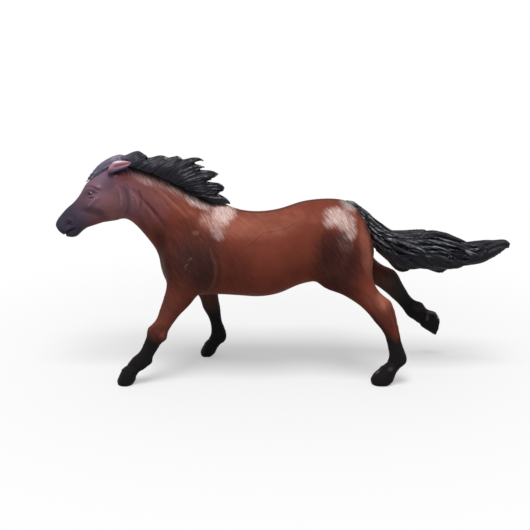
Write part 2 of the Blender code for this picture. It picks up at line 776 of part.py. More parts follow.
def fit_tail(halves, clear_skin):
    """The streaming tail, whose plug is held between the body halves."""
    rows = rows_of(tail_band_shares, regions["tail"])
    lofts = [loft("band", rows)]
    for shares in tail_lock_shares:
        lofts.append(slim_loft("lock", rows_of(shares, regions["tail"])))
    tail = fuse("tail", lofts, hair_voxel, tail_triangles)
    cut(tail, clear_skin)
    start = centre_of(row_at(rows, tail_plug_row))
    way = (centre_of(rows[0]) - start).normalized()
    add_plug(tail, halves.values(), Rod(start, start + way * tail_plug_length, tail_plug_radius))
    finish(tail, "tail", start, black_hair, hair_roughness)


def centre_figure():
    """Moves the figure so that its origin is under the middle of its outline."""
    bpy.context.view_layer.update()
    corners = [part.matrix_world @ vert.co for part in figure.children for vert in part.data.vertices]
    lowest = Vector(min(corner[i] for corner in corners) for i in range(3))
    highest = Vector(max(corner[i] for corner in corners) for i in range(3))
    middle = (lowest + highest) / 2.0
    figure.location = (-middle.x, -middle.y, -lowest.z)


for old in list(bpy.data.objects):
    bpy.data.objects.remove(old)
parts = make_collection("toy_horse")
cutters = make_collection("cutters")
figure = bpy.data.objects.new("toy_horse", None)
parts.objects.link(figure)
regions = find_regions()

skin = make_skin()
clear_skin = swollen(skin, joint_gap)
cut_soles(skin)
legs = make_legs(skin)
halves = make_halves(skin)
for name, side, leg, plug, colour in legs:
    add_plug(leg, [halves[side]], plug)
    finish(leg, name, plug.start, colour, coat_roughness)
ears = fit_ears(halves, clear_skin)
forelock = fit_forelock(halves, clear_skin)
fit_mane(halves, [clear_skin, forelock, *ears])
fit_tail(halves, clear_skin)
for side, half in halves.items():
    finish(half, "body_" + side + "_half", Vector(), bay_coat, coat_roughness)
centre_figure()
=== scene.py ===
import math

import bmesh
import bpy
import numpy as np
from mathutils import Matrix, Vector
from mathutils.bvhtree import BVHTree


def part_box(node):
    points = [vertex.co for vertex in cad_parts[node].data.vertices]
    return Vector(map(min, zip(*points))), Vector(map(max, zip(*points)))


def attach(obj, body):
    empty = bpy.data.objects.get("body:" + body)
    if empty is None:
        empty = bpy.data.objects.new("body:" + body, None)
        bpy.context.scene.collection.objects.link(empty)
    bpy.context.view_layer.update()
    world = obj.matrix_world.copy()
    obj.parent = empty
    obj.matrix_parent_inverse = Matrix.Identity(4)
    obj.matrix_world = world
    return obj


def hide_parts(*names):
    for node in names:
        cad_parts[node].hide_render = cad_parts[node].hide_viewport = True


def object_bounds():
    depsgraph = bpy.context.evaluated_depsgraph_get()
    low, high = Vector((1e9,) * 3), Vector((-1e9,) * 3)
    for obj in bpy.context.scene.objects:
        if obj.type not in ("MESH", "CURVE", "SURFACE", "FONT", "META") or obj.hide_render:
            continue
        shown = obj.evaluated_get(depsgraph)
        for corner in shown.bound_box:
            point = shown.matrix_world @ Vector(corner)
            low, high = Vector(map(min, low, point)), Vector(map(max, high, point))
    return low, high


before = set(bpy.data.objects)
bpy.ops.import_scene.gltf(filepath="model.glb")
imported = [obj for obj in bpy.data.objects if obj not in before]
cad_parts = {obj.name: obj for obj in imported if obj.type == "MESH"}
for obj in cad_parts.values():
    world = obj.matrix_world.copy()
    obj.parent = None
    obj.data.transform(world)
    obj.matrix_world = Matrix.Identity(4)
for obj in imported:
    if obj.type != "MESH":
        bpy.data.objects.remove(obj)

cad_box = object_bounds()
scene = bpy.context.scene
MM = 0.001

# Camera
# It stands at the horse's left side, a forearm's length away and a little above, and looks down on it.
# The sculpted and painted marks further on are laid out in this picture's pixels.
picture_side = 530
picture_lens = 1108.0
camera_distance = 400.0
camera_rise = math.radians(17.0)
camera_aim = np.array((-6.75, 0.0, 40.1))
sensor_width = 36.0

towards_camera = np.array((0.0, -math.cos(camera_rise), math.sin(camera_rise)))
up_picture = np.array((0.0, math.sin(camera_rise), math.cos(camera_rise)))
camera_place = camera_aim + camera_distance * towards_camera

camera_data = bpy.data.cameras.new("camera")
camera_data.sensor_width = sensor_width
camera_data.lens = sensor_width * picture_lens / picture_side
camera_data.clip_start = 0.01
camera = bpy.data.objects.new("camera", camera_data)
scene.collection.objects.link(camera)
camera.location = Vector(camera_place * MM)
camera.rotation_euler = (math.pi / 2 - camera_rise, 0.0, 0.0)
scene.camera = camera


def picture_places(points):
    """Where points in mm fall in the picture, in pixels from its top left corner."""
    away = points - camera_place
    depth = -away @ towards_camera
    middle = picture_side / 2
    across = middle + picture_lens * away[:, 0] / depth
    down = middle - picture_lens * (away @ up_picture) / depth
    return np.stack((across, down), axis=1)


# Body and legs
# Moulded plastic: two hollow halves of trunk, neck and head, and four legs plugged into them. The
# seams are filled and painted over, so the pieces are shaped as one skin and parted at the seams.
half_nodes = {"left": "body_left_half", "right": "body_right_half"}
leg_nodes = {
    "left_fore_leg": "left", "right_fore_leg": "right", "left_hind_leg": "left", "right_hind_leg": "right",
}
skin_voxel = 0.74
seam_fill = 0.30
weld_gap = 0.001
belly_rise = (26.0, 38.0)
jaw_rise = (-60.0, -44.0)
head_end = -50.0
first_rounds = 3
barrel_rounds = 60
regain_rounds = 40
limb_rounds = 8


def points_of(mesh):
    """A mesh's points, in mm."""
    points = np.empty(len(mesh.vertices) * 3)
    mesh.vertices.foreach_get("co", points)
    return points.reshape(-1, 3) / MM


def normals_of(mesh):
    """The way out of a mesh at its points."""
    normals = np.empty(len(mesh.vertices) * 3, np.float32)
    mesh.vertex_normals.foreach_get("vector", normals)
    return normals.reshape(-1, 3).astype(float)


def move_points(mesh, points):
    """Puts a mesh's points at places in mm."""
    mesh.vertices.foreach_set("co", (points * MM).ravel())
    mesh.update()


def edges_of(mesh):
    """The pairs of points that a mesh's edges join."""
    edges = np.empty(len(mesh.edges) * 2, np.int64)
    mesh.edges.foreach_get("vertices", edges)
    return edges.reshape(-1, 2)


def carry_masks(mesh, masks):
    """Gives a mesh named masks, one value a point, that its material reads."""
    for name, mask in masks.items():
        mesh.attributes.new(name, "FLOAT", "POINT").data.foreach_set("value", mask.astype(np.float32))


def evened(values, edges, rounds, share=1.0, pulls=(0.5,)):
    """Values at a mesh's points, each drawn towards its neighbours' for some rounds."""
    values = values.copy()
    flat = values.reshape(len(values), -1)
    count = len(flat)
    one, other = edges.T
    degree = np.bincount(one, minlength=count) + np.bincount(other, minlength=count)
    for pull in pulls * rounds:
        step = np.empty_like(flat)
        for i in range(flat.shape[1]):
            total = np.bincount(one, flat[other, i], count) + np.bincount(other, flat[one, i], count)
            step[:, i] = total / degree - flat[:, i]
        flat += pull * (step.T * share).T
    return values


def soften(mesh, rounds, share=1.0, pulls=(0.5, -0.53)):
    """Evens out a mesh. The second pull undoes the shrinking of the first."""
    move_points(mesh, evened(points_of(mesh), edges_of(mesh), rounds, share, pulls))


def keep_largest(mesh):
    """Drops all but the largest surface, such as the lining of a hollow."""
    edges = edges_of(mesh)
    label = np.arange(len(mesh.vertices))
    while True:
        lower = label.copy()
        np.minimum.at(lower, edges[:, 0], label[edges[:, 1]])
        np.minimum.at(lower, edges[:, 1], label[edges[:, 0]])
        lower = lower[lower]
        if (lower == label).all():
            break
        label = lower
    names, counts = np.unique(label, return_counts=True)
    bm = bmesh.new()
    bm.from_mesh(mesh)
    bm.verts.ensure_lookup_table()
    crumbs = [bm.verts[i] for i in np.nonzero(label != names[counts.argmax()])[0]]
    bmesh.ops.delete(bm, geom=crumbs, context="VERTS")
    bm.to_mesh(mesh)
    bm.free()


def with_modifier(mesh, kind, **settings):
    """The mesh that one modifier makes of a mesh."""
    holder = bpy.data.objects.new("holder", mesh)
    scene.collection.objects.link(holder)
    modifier = holder.modifiers.new(kind, kind)
    for key, value in settings.items():
        setattr(modifier, key, value)
    graph = bpy.context.evaluated_depsgraph_get()
    made = bpy.data.meshes.new_from_object(holder.evaluated_get(graph))
    bpy.data.objects.remove(holder)
    return made


def together(meshes):
    """One mesh that holds several."""
    bm = bmesh.new()
    for mesh in meshes:
        bm.from_mesh(mesh)
    bmesh.ops.remove_doubles(bm, verts=bm.verts, dist=weld_gap * MM)
    mesh = bpy.data.meshes.new("together")
    bm.to_mesh(mesh)
    bm.free()
    return mesh


def remade(node_names, swell, voxel, extra=()):
    """One fine closed mesh round copies of the frame's nodes, swollen or slimmed, and other meshes."""
    mesh = together([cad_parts[name].data for name in node_names])
    mesh = with_modifier(mesh, "DISPLACE", mid_level=0.0, strength=swell * MM)
    mesh = together([mesh, *extra])
    mesh = with_modifier(mesh, "REMESH", mode="VOXEL", voxel_size=voxel * MM)
    keep_largest(mesh)
    return mesh


def eased(values, low, high):
    """0 below low, 1 above high and a smooth rise between."""
    share = np.clip((values - low) / (high - low), 0.0, 1.0)
    return share * share * (3.0 - 2.0 * share)


# The skin swells to close the seams and shrinks back. Barrel and neck are evened most, and get the
# fullness back that the evening takes. The head has finer faces than the rest.
skin = remade([*half_nodes.values(), *leg_nodes], seam_fill, skin_voxel)
soften(skin, first_rounds)
move_points(skin, points_of(skin) - seam_fill * normals_of(skin))
points = points_of(skin)
barrel_share = eased(points[:, 2], *belly_rise) * eased(points[:, 0], *jaw_rise)
soften(skin, barrel_rounds, barrel_share, (0.5,))
shrunk = ((points - points_of(skin)) * normals_of(skin)).sum(1)
regained = evened(shrunk, edges_of(skin), regain_rounds)[:, None] * normals_of(skin)
move_points(skin, points_of(skin) + regained * barrel_share[:, None])
soften(skin, limb_rounds, 1.0 - barrel_share)
skin = with_modifier(skin, "SUBSURF", levels=1, render_levels=1)

bm = bmesh.new()
bm.from_mesh(skin)
on_head = {edge for vert in bm.verts if vert.co.x < head_end * MM for edge in vert.link_edges}
bmesh.ops.subdivide_edges(bm, edges=list(on_head), cuts=1, use_grid_fill=True, smooth=0.0)
bm.to_mesh(skin)
bm.free()

# The sculptor's marks
# They are drawn in picture pixels on three height maps, which then move the skin in and out: marks on
# the sides of the horse, and rings that go right round the near legs and mouth, and the far legs.
map_corner = np.array((50.0, 140.0))
map_reach = (410, 260)
map_fineness = 5
side_marks, near_rings, far_rings = (
    np.zeros((map_reach[1] * map_fineness, map_reach[0] * map_fineness)) for _ in range(3)
)
mark_random = np.random.default_rng(7)
comb_stray = 5.0
comb_spans = (0.6, 1.3)
comb_bend = 0.05
comb_heights = (0.4, 1.2)
gentle_side, steep_side = 4.0, 0.6


def through(points, count):
    """A smooth line of some points through a few."""
    points = np.array(points, float)
    ends = np.vstack((2 * points[0] - points[1], points, 2 * points[-1] - points[-2]))
    place = np.linspace(0.0, len(points) - 1.0, count)
    first = np.minimum(place.astype(int), len(points) - 2)
    t = (place - first)[:, None]
    a, b, c, d = (ends[first + i] for i in range(4))
    bend = (2 * a - 5 * b + 4 * c - d) * t ** 2 + (3 * b - a - 3 * c + d) * t ** 3
    return 0.5 * (2 * b + (c - a) * t + bend)


def draw(on, points, width, height, folded=False, count=24):
    """Draws a ridge, or a fold with its steep side on the line's left; both fade at their ends."""
    line = (through(points, count) - map_corner) * map_fineness
    width = width * map_fineness
    reach = 3.0 * width * (gentle_side if folded else 1.0)
    low = np.maximum(np.floor(line.min(0) - reach).astype(int), 0)
    high = np.minimum(np.ceil(line.max(0) + reach).astype(int), on.shape[::-1])
    rows, columns = np.mgrid[low[1]:high[1], low[0]:high[0]]
    nearest = np.full(rows.shape, np.inf)
    side = np.zeros(rows.shape)
    along = np.zeros(rows.shape)
    for i, (start, end) in enumerate(zip(line[:-1], line[1:])):
        way = end - start
        box_low = np.maximum((np.minimum(start, end) - reach).astype(int), low) - low
        box_high = np.minimum((np.maximum(start, end) + reach).astype(int), high) - low
        part = (slice(box_low[1], box_high[1]), slice(box_low[0], box_high[0]))
        across, down = columns[part] - start[0], rows[part] - start[1]
        share = np.clip((across * way[0] + down * way[1]) / (way @ way), 0.0, 1.0)
        gap = np.hypot(across - share * way[0], down - share * way[1])
        closer = gap < nearest[part]
        nearest[part][closer] = gap[closer]
        side[part][closer] = np.sign(way[0] * down - way[1] * across)[closer]
        along[part][closer] = (i + share[closer]) / (len(line) - 1)
    fade = np.sqrt(np.clip(np.sin(np.pi * along), 0.0, 1.0))
    form = np.exp(-(nearest / width) ** 2)
    if folded:
        gentle = np.exp(-(nearest / (gentle_side * width)) ** 2)
        steep = np.exp(-(nearest / (steep_side * width)) ** 2)
        form = np.where(side > 0, gentle, steep)
    on[low[1]:high[1], low[0]:high[0]] += height * fade * form


def dab(on, centre, reach, height, lean=0.0):
    """Draws a soft round swelling, or a hollow where the height is below nought."""
    rows, columns = np.mgrid[0:on.shape[0], 0:on.shape[1]]
    across = columns / map_fineness + map_corner[0] - centre[0]
    down = rows / map_fineness + map_corner[1] - centre[1]
    turn = math.radians(lean)
    one = (across * math.cos(turn) + down * math.sin(turn)) / reach[0]
    other = (down * math.cos(turn) - across * math.sin(turn)) / reach[1]
    on[:] += height * np.exp(-(one ** 2 + other ** 2))


def comb(centre, reach, lean, count, long, width, height):
    """Draws short combed strokes of hair within an oval, all leaning about one way."""
    for _ in range(count):
        turn, far = mark_random.uniform(0, 2 * np.pi), np.sqrt(mark_random.uniform())
        start = np.array(centre) + far * np.array(reach) * (math.cos(turn), math.sin(turn))
        way = math.radians(lean + mark_random.normal(0.0, comb_stray))
        span = mark_random.uniform(*comb_spans) * long
        bend = mark_random.normal(0.0, comb_bend) * span
        end = start + span * np.array((math.cos(way), math.sin(way)))
        middle = (start + end) / 2 + bend * np.array((-math.sin(way), math.cos(way)))
        tall = height * mark_random.uniform(*comb_heights)
        tall *= mark_random.choice((1.0, -0.8), p=(0.7, 0.3))
        draw(side_marks, (start, middle, end), width, tall, count=7)


# Folds: width, height and line
side_folds = {
    "rear of the cheek": (1.6, 0.5, [(116, 185), (120, 189.5), (122.6, 196), (123.6, 203), (122.6, 210)]),
    "front of the thigh": (1.8, 0.12, [(323, 226), (320.5, 240), (321, 256), (325, 272)]),
}
# Ridges, and grooves where the height is below nought: width, height and line
side_lines = {
    "cheek's ridge": (1.1, 0.22, [(117.5, 190), (120.6, 196), (121.4, 203)]),
    "groove behind the cheek": (1.7, -0.3, [(123, 186), (126, 193), (127.6, 202), (127, 211), (123, 218)]),
    "throat's ridge": (1.6, 0.36, [(126, 181), (130.5, 188), (134.5, 195), (137, 203), (137, 211)]),
    "throat's groove": (1.5, -0.24, [(138.2, 190), (140.6, 199), (140.4, 208)]),
    "facial crest": (1.2, 0.24, [(98, 197), (93.5, 201), (89, 206), (86, 210)]),
    "hollow over the crest": (1.6, -0.12, [(101, 199), (96, 204.5), (91, 210)]),
    "corner of the jaw": (1.8, 0.2, [(82, 221), (93, 220.5), (104, 217.5)]),
    "upper lid": (0.8, 0.26, [(85.0, 193.0), (87.4, 190.4), (91.2, 189.8), (95.2, 191.6), (98.5, 192.6)]),
    "lower lid": (0.8, 0.16, [(87.4, 195.8), (90.0, 196.8), (93.2, 195.8), (95.6, 193.8)]),
    "crease over the eye": (1.1, -0.2, [(84, 188.0), (89, 186.6), (95, 188.4), (99, 190.6)]),
    "nostril's rim": (1.0, 0.3, [(64.8, 226.5), (64.6, 222.2), (67.4, 219.4), (71.2, 220.6), (72.4, 225.2)]),
    "hollow behind the nostril": (1.6, -0.18, [(71, 214), (74, 219), (74.5, 226)]),
    "lower lip": (1.4, 0.2, [(68.5, 236.2), (73, 234.2), (78, 231.6)]),
    "upper lip": (1.3, 0.16, [(63.5, 231), (68, 228.8), (74, 225.8)]),
    "crease under the eye": (0.9, -0.16, [(88.4, 198.4), (91, 197.8), (93.4, 198.6)]),
    "pouch under the eye": (0.9, 0.1, [(88.6, 200.2), (91, 199.6), (93.4, 200.2)]),
    "crease under the ear": (0.9, -0.3, [(112, 173.2), (116, 172.6), (119, 174.6)]),
    "ridge behind the ear": (1.4, 0.12, [(119, 178), (124, 177), (130, 179)]),
    "jugular groove": (
        2.1, -0.34, [(126, 183), (133, 190.5), (142, 199.3), (150, 207.3), (158, 216), (167, 228)],
    ),
    "ridge over the groove": (1.5, 0.26, [(133.5, 190.5), (142.5, 201), (150.5, 211), (154.5, 219)]),
    "neck muscle": (1.8, 0.24, [(146, 184), (158, 190.5), (172, 203.5), (187.5, 218)]),
    "groove over the neck muscle": (1.8, -0.16, [(156, 186), (169, 196), (181, 207.5), (193, 221)]),
    "throat's wrinkle": (2.4, 0.2, [(141, 212), (147, 224), (155, 238)]),
    "groove of the chest": (2.6, -0.14, [(170, 236), (178, 250), (182, 268)]),
    "first shoulder nick": (0.7, 0.16, [(188.5, 260.5), (190.5, 258.6), (193, 258)]),
    "second shoulder nick": (0.7, 0.16, [(184, 268), (186, 265.5), (188.5, 264)]),
    "third shoulder nick": (0.7, 0.14, [(184.5, 271.5), (187.5, 268)]),
    "fourth shoulder nick": (0.7, 0.12, [(188, 273), (190.5, 270)]),
    "elbow's ridge": (
        1.8, 0.14, [(209, 248), (214, 260), (215.6, 272), (213.8, 283), (207, 291), (199, 296)],
    ),
    "elbow's groove": (2.2, -0.14, [(213, 250), (218.5, 264), (219.5, 276), (216, 288)]),
    "upper fold over the croup": (0.6, -0.12, [(345.5, 211.5), (349, 214), (352.5, 212)]),
    "lower fold over the croup": (0.6, -0.16, [(344, 213.5), (347.5, 216.5), (351.5, 214.5)]),
    "buttock's ridge": (1.5, 0.22, [(372, 232), (376, 246), (376.6, 262), (374, 276)]),
    "buttock's groove": (1.6, -0.14, [(368, 226), (371.5, 240), (371.5, 258)]),
    "groove of the hock": (1.0, -0.28, [(387, 296), (392, 310), (396, 325), (400.5, 345)]),
    "heel tendon": (1.0, 0.2, [(391, 297), (395.8, 312), (398.8, 328), (402, 340)]),
    "gaskin muscle": (2.2, 0.26, [(377, 294), (383, 304), (388.5, 316)]),
    "groove of the gaskin": (2.0, -0.12, [(362, 290), (372, 302), (380, 316)]),
    "hind cannon bone": (1.2, 0.14, [(384, 340), (387, 351), (388, 360)]),
    "hind tendon's groove": (1.0, -0.16, [(390, 338), (393, 349), (395, 358)]),
    "top of the knee": (1.6, 0.18, [(160, 322), (152, 328), (149, 333)]),
    "crease behind the knee": (1.3, -0.14, [(165, 326), (159, 334), (154, 341)]),
    "fore cannon bone": (1.2, 0.14, [(153, 338), (146, 350), (139, 360)]),
    "fore tendon's groove": (1.0, -0.16, [(157, 340), (151, 352), (146, 362)]),
}
near_ring_lines = {
    "mouth": (0.9, -0.85, [(62.5, 238.5), (66.2, 233.8), (69, 231.6), (72.5, 229.9), (77, 228.2)]),
    "fore hoof's top rim": (1.0, 0.2, [(112, 371), (119, 369.6), (129, 370.4), (140, 375)]),
    "groove over the fore hoof": (1.3, -0.22, [(112, 366.5), (121, 364.8), (131, 366), (142, 371)]),
    "hind hoof's top rim": (1.0, 0.2, [(366, 369.5), (375, 367), (386, 367), (400, 371)]),
    "groove over the hind hoof": (1.3, -0.2, [(368, 364), (377, 361.8), (388, 362), (402, 367)]),
}
far_ring_lines = {
    "fore hoof's top rim": (0.9, 0.18, [(196, 345), (203, 343), (211, 343.6), (221, 347)]),
    "groove over the fore hoof": (1.1, -0.22, [(197, 340.6), (204, 338.6), (212, 339.4), (222, 343)]),
    "hind hoof's top rim": (1.2, 0.2, [(428, 316), (425, 321), (421, 328)]),
    "groove over the hind hoof": (1.4, -0.32, [(427.2, 310.5), (424.4, 316), (421, 321), (416, 328)]),
    "rim of the raised sole": (1.0, 0.3, [(428.5, 312.6), (432, 312.6), (436.5, 313.4)]),
    "groove of the raised sole": (0.9, -0.3, [(430.6, 315.6), (434, 317.2), (438, 317.4)]),
    "frog of the raised sole": (0.7, 0.2, [(430.6, 318.6), (434, 318.8), (438.6, 319.6)]),
    "groove of the raised hock": (1.4, -0.16, [(394, 279), (402, 291), (411, 303)]),
}
# Swellings, and hollows where the height is below nought: centre, reach, height and lean
side_dabs = {
    "hollow under the crest": ((94, 213.5), (12, 4.0), -0.5, 12),
    "brow": ((98.5, 187.2), (4.8, 2.4), 0.42, 15),
    "eye socket": ((91.0, 192.0), (7.0, 4.0), -0.5),
    "eyeball": ((90.2, 193.0), (2.8, 2.1), 0.6, 15),
    "nostril": ((68.4, 223.6), (2.2, 2.6), -0.65, 20),
    "cheek": ((106, 202), (13, 12), 0.4),
    "knob under the ear": ((115.4, 175.8), (2.0, 1.5), 0.34),
    "withers": ((224, 222), (15, 15), 0.25),
    "shoulder": ((200, 256), (16, 26), 0.35, -8),
    "point of the shoulder": ((196, 233), (3.4, 2.4), 0.24),
    "breast": ((172, 238), (9, 20), 0.25, -25),
    "flank": ((331, 286), (9, 8), -0.4, 30),
    "croup": ((338, 222), (20, 14), 0.3),
    "buttock": ((366, 250), (8, 22), 0.25, -15),
    "hollow of the thigh": ((352, 268), (9, 12), -0.15, 20),
}
near_ring_dabs = {
    "knee": ((163.0, 337.0), (4.5, 5.0), 1.0),
    "front of the knee": ((147.0, 328.0), (3.5, 4.0), 0.35),
    "fetlock": ((152.0, 363.0), (4.0, 5.0), 0.7),
    "hock": ((391.0, 300.0), (4.0, 5.0), 0.3),
    "hind pastern": ((390.5, 369.6), (3.4, 2.6), 0.3),
}
far_ring_dabs = {
    "raised fetlock": ((420.5, 306.5), (5.0, 4.0), 0.5, 40),
    "heel of the raised hoof": ((428.2, 316.8), (2.0, 1.8), 0.4),
}
for sheet, lines, dabs in (
    (side_marks, side_lines, side_dabs),
    (near_rings, near_ring_lines, near_ring_dabs),
    (far_rings, far_ring_lines, far_ring_dabs),
):
    for width, height, line in lines.values():
        draw(sheet, line, width, height)
    for swelling in dabs.values():
        dab(sheet, *swelling)
for width, height, line in side_folds.values():
    draw(side_marks, line, width, height, folded=True)

barrel_vein = np.array([
    (240, 243), (244, 246), (250, 243), (256, 237), (262, 231.5), (268, 230.5), (280, 228), (288, 225),
    (294, 221.5), (302, 219.5),
])
vein_width = 0.75
vein_height = 0.09
under_vein = (0.5, 2.2)
under_vein_depth = 0.06
vein_points = 60
draw(side_marks, barrel_vein, vein_width, vein_height, count=vein_points)
draw(side_marks, barrel_vein + under_vein, vein_width, -under_vein_depth, count=vein_points)

# Combed hair: centre, reach, lean, count, length, width and height
combed_patches = {
    "crest": ((165, 194), (38, 10), 48, 140, 11, 0.45, 0.05),
    "neck": ((166, 210), (25, 16), 50, 70, 11, 0.5, 0.04),
    "front of the withers": ((217, 219), (8, 13), 64, 90, 10, 0.42, 0.06),
    "rear of the withers": ((228, 220), (8, 13), 48, 80, 10, 0.42, 0.06),
    "top of the shoulder": ((205, 226), (15, 12), 62, 70, 9, 0.45, 0.05),
    "shoulder": ((200, 252), (20, 20), 75, 60, 10, 0.5, 0.03),
    "croup": ((340, 219), (17, 13), 52, 110, 9, 0.42, 0.035),
    "thigh": ((345, 244), (9, 13), 52, 80, 11, 0.42, 0.05),
    "barrel": ((270, 255), (34, 30), 38, 100, 10, 0.7, 0.02),
}
for patch in combed_patches.values():
    comb(*patch)


def sampled(sheet, places):
    """A map's values at places in the picture."""
    spot = np.clip((places - map_corner) * map_fineness, 0.0, np.array(sheet.shape[::-1]) - 1.001)
    across, down = spot.astype(int).T
    right, under = (spot - spot.astype(int)).T
    upper = sheet[down, across] * (1 - right) + sheet[down, across + 1] * right
    lower = sheet[down + 1, across] * (1 - right) + sheet[down + 1, across + 1] * right
    return upper * (1 - under) + lower * under


leg_top = 38.0
leg_fade = 6.0
middle_fade = 0.5
edge_on, face_on = 0.1, 0.45
points = points_of(skin)
ways = normals_of(skin)
near_side = points * (1.0, 0.0, 1.0) - np.abs(points) * (0.0, 1.0, 0.0)
skin_places = picture_places(near_side)
facing = -np.sign(points[:, 1]) * ways[:, 1] * towards_camera[1] + ways[:, 2] * towards_camera[2]
on_near = eased(-points[:, 1], -middle_fade, middle_fade)
low_down = 1.0 - eased(points[:, 2], leg_top - leg_fade, leg_top)
shared = 1.0 - (1.0 - on_near) * low_down
marked = sampled(side_marks, skin_places) * eased(facing, edge_on, face_on) * shared
marked += sampled(near_rings, skin_places) * shared
marked += sampled(far_rings, picture_places(points)) * (1.0 - shared)
points += marked[:, None] * ways

# The soles stay flat, and their rims are rounded.
sole_depth = 0.05
flat_depth = 0.3
sole_reach = 8.0
rim_height = 1.5
rim_tuck = 0.8
for name in leg_nodes:
    sole = points_of(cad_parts[name].data)
    sole = sole[sole[:, 2] < sole_depth]
    if len(sole) == 0:
        continue
    middle = (sole.min(0) + sole.max(0)) / 2
    away = (points - middle) * (1.0, 1.0, 0.0)
    gap = np.linalg.norm(away, axis=1)
    tuck = rim_tuck * (1.0 - np.clip(points[:, 2] / rim_height, 0.0, 1.0)) ** 2 * (gap < sole_reach)
    points -= away * (tuck / np.maximum(gap, rim_tuck))[:, None]
points[:, 2] = np.where(points[:, 2] < flat_depth, 0.0, points[:, 2])
low_corner, high_corner = (np.array(corner) / MM for corner in cad_box)
points = np.clip(points, low_corner, high_corner)
move_points(skin, points)

# Coat paint
# A reddish bay is sprayed over the plastic, then darker brown airbrushing, partly painted shade, black on
# muzzle and legs, and pale paint brushed dry over the combed hair, partly painted highlight. Painted light
# and shade lie over
# them: lit tops, highlights and glints, shade in grooves and creases and on the far side, and a violet glare
# on the head. Each layer has its mask at the skin's points.
oval_core, oval_edge = 0.35, 1.3
line_core = 0.2
line_spots = 32


def airbrushed(patches, places=skin_places):
    """A layer's mask at a mesh's points, from ovals in the picture: centre, reach, lean, strength."""
    mask = np.zeros(len(places))
    for centre, reach, lean, strength in patches:
        across, down = (places - centre).T
        turn = math.radians(lean)
        one = (across * math.cos(turn) + down * math.sin(turn)) / reach[0]
        other = (down * math.cos(turn) - across * math.sin(turn)) / reach[1]
        oval = 1.0 - eased(np.hypot(one, other), oval_core, oval_edge)
        if strength <= 1.0:
            mask = 1.0 - (1.0 - mask) * (1.0 - strength * oval)
        else:
            mask = np.maximum(mask, strength * oval)
    return mask


def brushed_along(line, reach, strength):
    """A layer's mask along a line drawn in the picture."""
    gap = np.full(len(skin_places), np.inf)
    for spot in through(line, line_spots):
        gap = np.minimum(gap, np.hypot(*(skin_places - spot).T))
    return strength * (1.0 - eased(gap, line_core * reach, reach))


def below(line, fade):
    """A mask of what lies below a line in the picture."""
    line = np.array(line, float)
    edge = np.interp(skin_places[:, 0], line[:, 0], line[:, 1])
    return eased(skin_places[:, 1] - edge, -fade, fade)


# Where each layer lies: ovals with their centre, reach, lean and strength, and lines with their reach
# and strength.
# Dark brown airbrushing, partly painted shade under the belly, neck, chest and ear and along the rump's rear
# edge.
dark_patches = [
    ((197, 260), (31, 38), -8, 0.72), ((202, 272), (16, 24), -8, 0.45), ((172, 255), (18, 34), -10, 0.45),
    ((163, 252), (8, 34), -12, 0.5),
    ((175, 300), (30, 22), 30, 0.3), ((186, 225), (12, 10), 0, 0.3), ((154, 316), (22, 22), 0, 0.15),
    ((158, 333), (15, 9), 20, 0.45),
    ((338, 268), (27, 36), 12, 0.8), ((326, 246), (12, 22), 0, 0.45), ((354, 262), (12, 20), 0, 0.3),
    ((343, 240), (10, 10), 0, 0.6), ((345, 292), (22, 14), 35, 0.35), ((265, 297), (70, 12), 0, 0.1),
    ((238, 270), (18, 26), 0, 0.3), ((129, 203), (5, 18), -12, 0.25),
    ((145, 222), (7, 22), -32, 0.28), ((166, 226), (8, 14), -35, 0.25), ((104, 170), (9, 8), -20, 0.55),
    ((392, 322), (3.5, 20), -15, 0.3), ((386, 326), (8, 14), -30, 0.45), ((369, 226), (4, 20), -20, 0.6),
    ((372.5, 246), (4, 16), -6, 0.5),
]
# Painted light: the top of barrel and back lit from above, and painted highlights on brow, cheek, crest,
# shoulder, hock and buttock.
lit_patches = [
    ((250, 226), (46, 14), 0, 0.62), ((300, 216), (34, 9), 0, 0.3),
    ((165, 198), (34, 9), 32, 0.4), ((366, 250), (7, 26), -8, 0.8), ((384, 301), (8, 11), -20, 0.7),
    ((382.6, 305.5), (3.0, 5.0), -15, 0.9),
    ((376, 300), (12, 14), -20, 0.05), ((98, 181), (10, 7), -30, 0.6),
    ((196, 233.6), (3.6, 2.6), 0, 0.95),
    ((208, 222), (12, 9), 0, 0.35), ((186, 210), (12, 10), 40, 0.2), ((108, 204), (19, 15), 0, 0.85),
    ((134, 198), (8, 16), -22, 0.4), ((345, 263), (5, 6), 0, 0.5), ((122, 219), (18, 6), 12, 0.5),
]
# Pale paint dry-brushed over withers, croup and the mane's root, partly painted highlight where light catches
# them.
frost_and_sheen_patches = [
    ((222, 214), (10, 13), -14, 1.05), ((229, 213), (8, 7), 30, 0.8), ((208, 219), (9, 10), 0, 0.24),
    ((217, 230), (7, 11), -24, 0.5),
    ((337, 216), (13, 9), 14, 0.85), ((347, 219), (9, 12), -6, 0.42), ((351, 230), (6, 11), 0, 0.6),
    ((330, 222), (7, 7), 30, 0.65), ((349, 205), (10, 5), 38, 0.5), ((345, 242), (8, 12), -20, 0.09),
    ((341, 223), (11, 7), 35, 0.7),
    ((143, 178), (13, 5), 30, 0.32), ((163, 185), (15, 5), 22, 0.18), ((181, 193), (14, 5.5), 28, 0.42),
    ((194, 200), (11, 6), 35, 0.95), ((204, 204.5), (9, 5), 25, 1.0),
]
# A painted violet glare of light over the head and the top of the neck.
glare_patches = [
    ((84, 202), (20, 24), -35, 0.58), ((98, 184), (20, 15), -20, 0.6),
    ((104, 170), (20, 14), -30, 0.8), ((127, 170), (12, 5), 4, 0.6),
    ((112, 200), (30, 26), 0, 0.46), ((70, 224), (20, 18), -25, 0.85), ((142, 196), (34, 34), -35, 0.25),
]
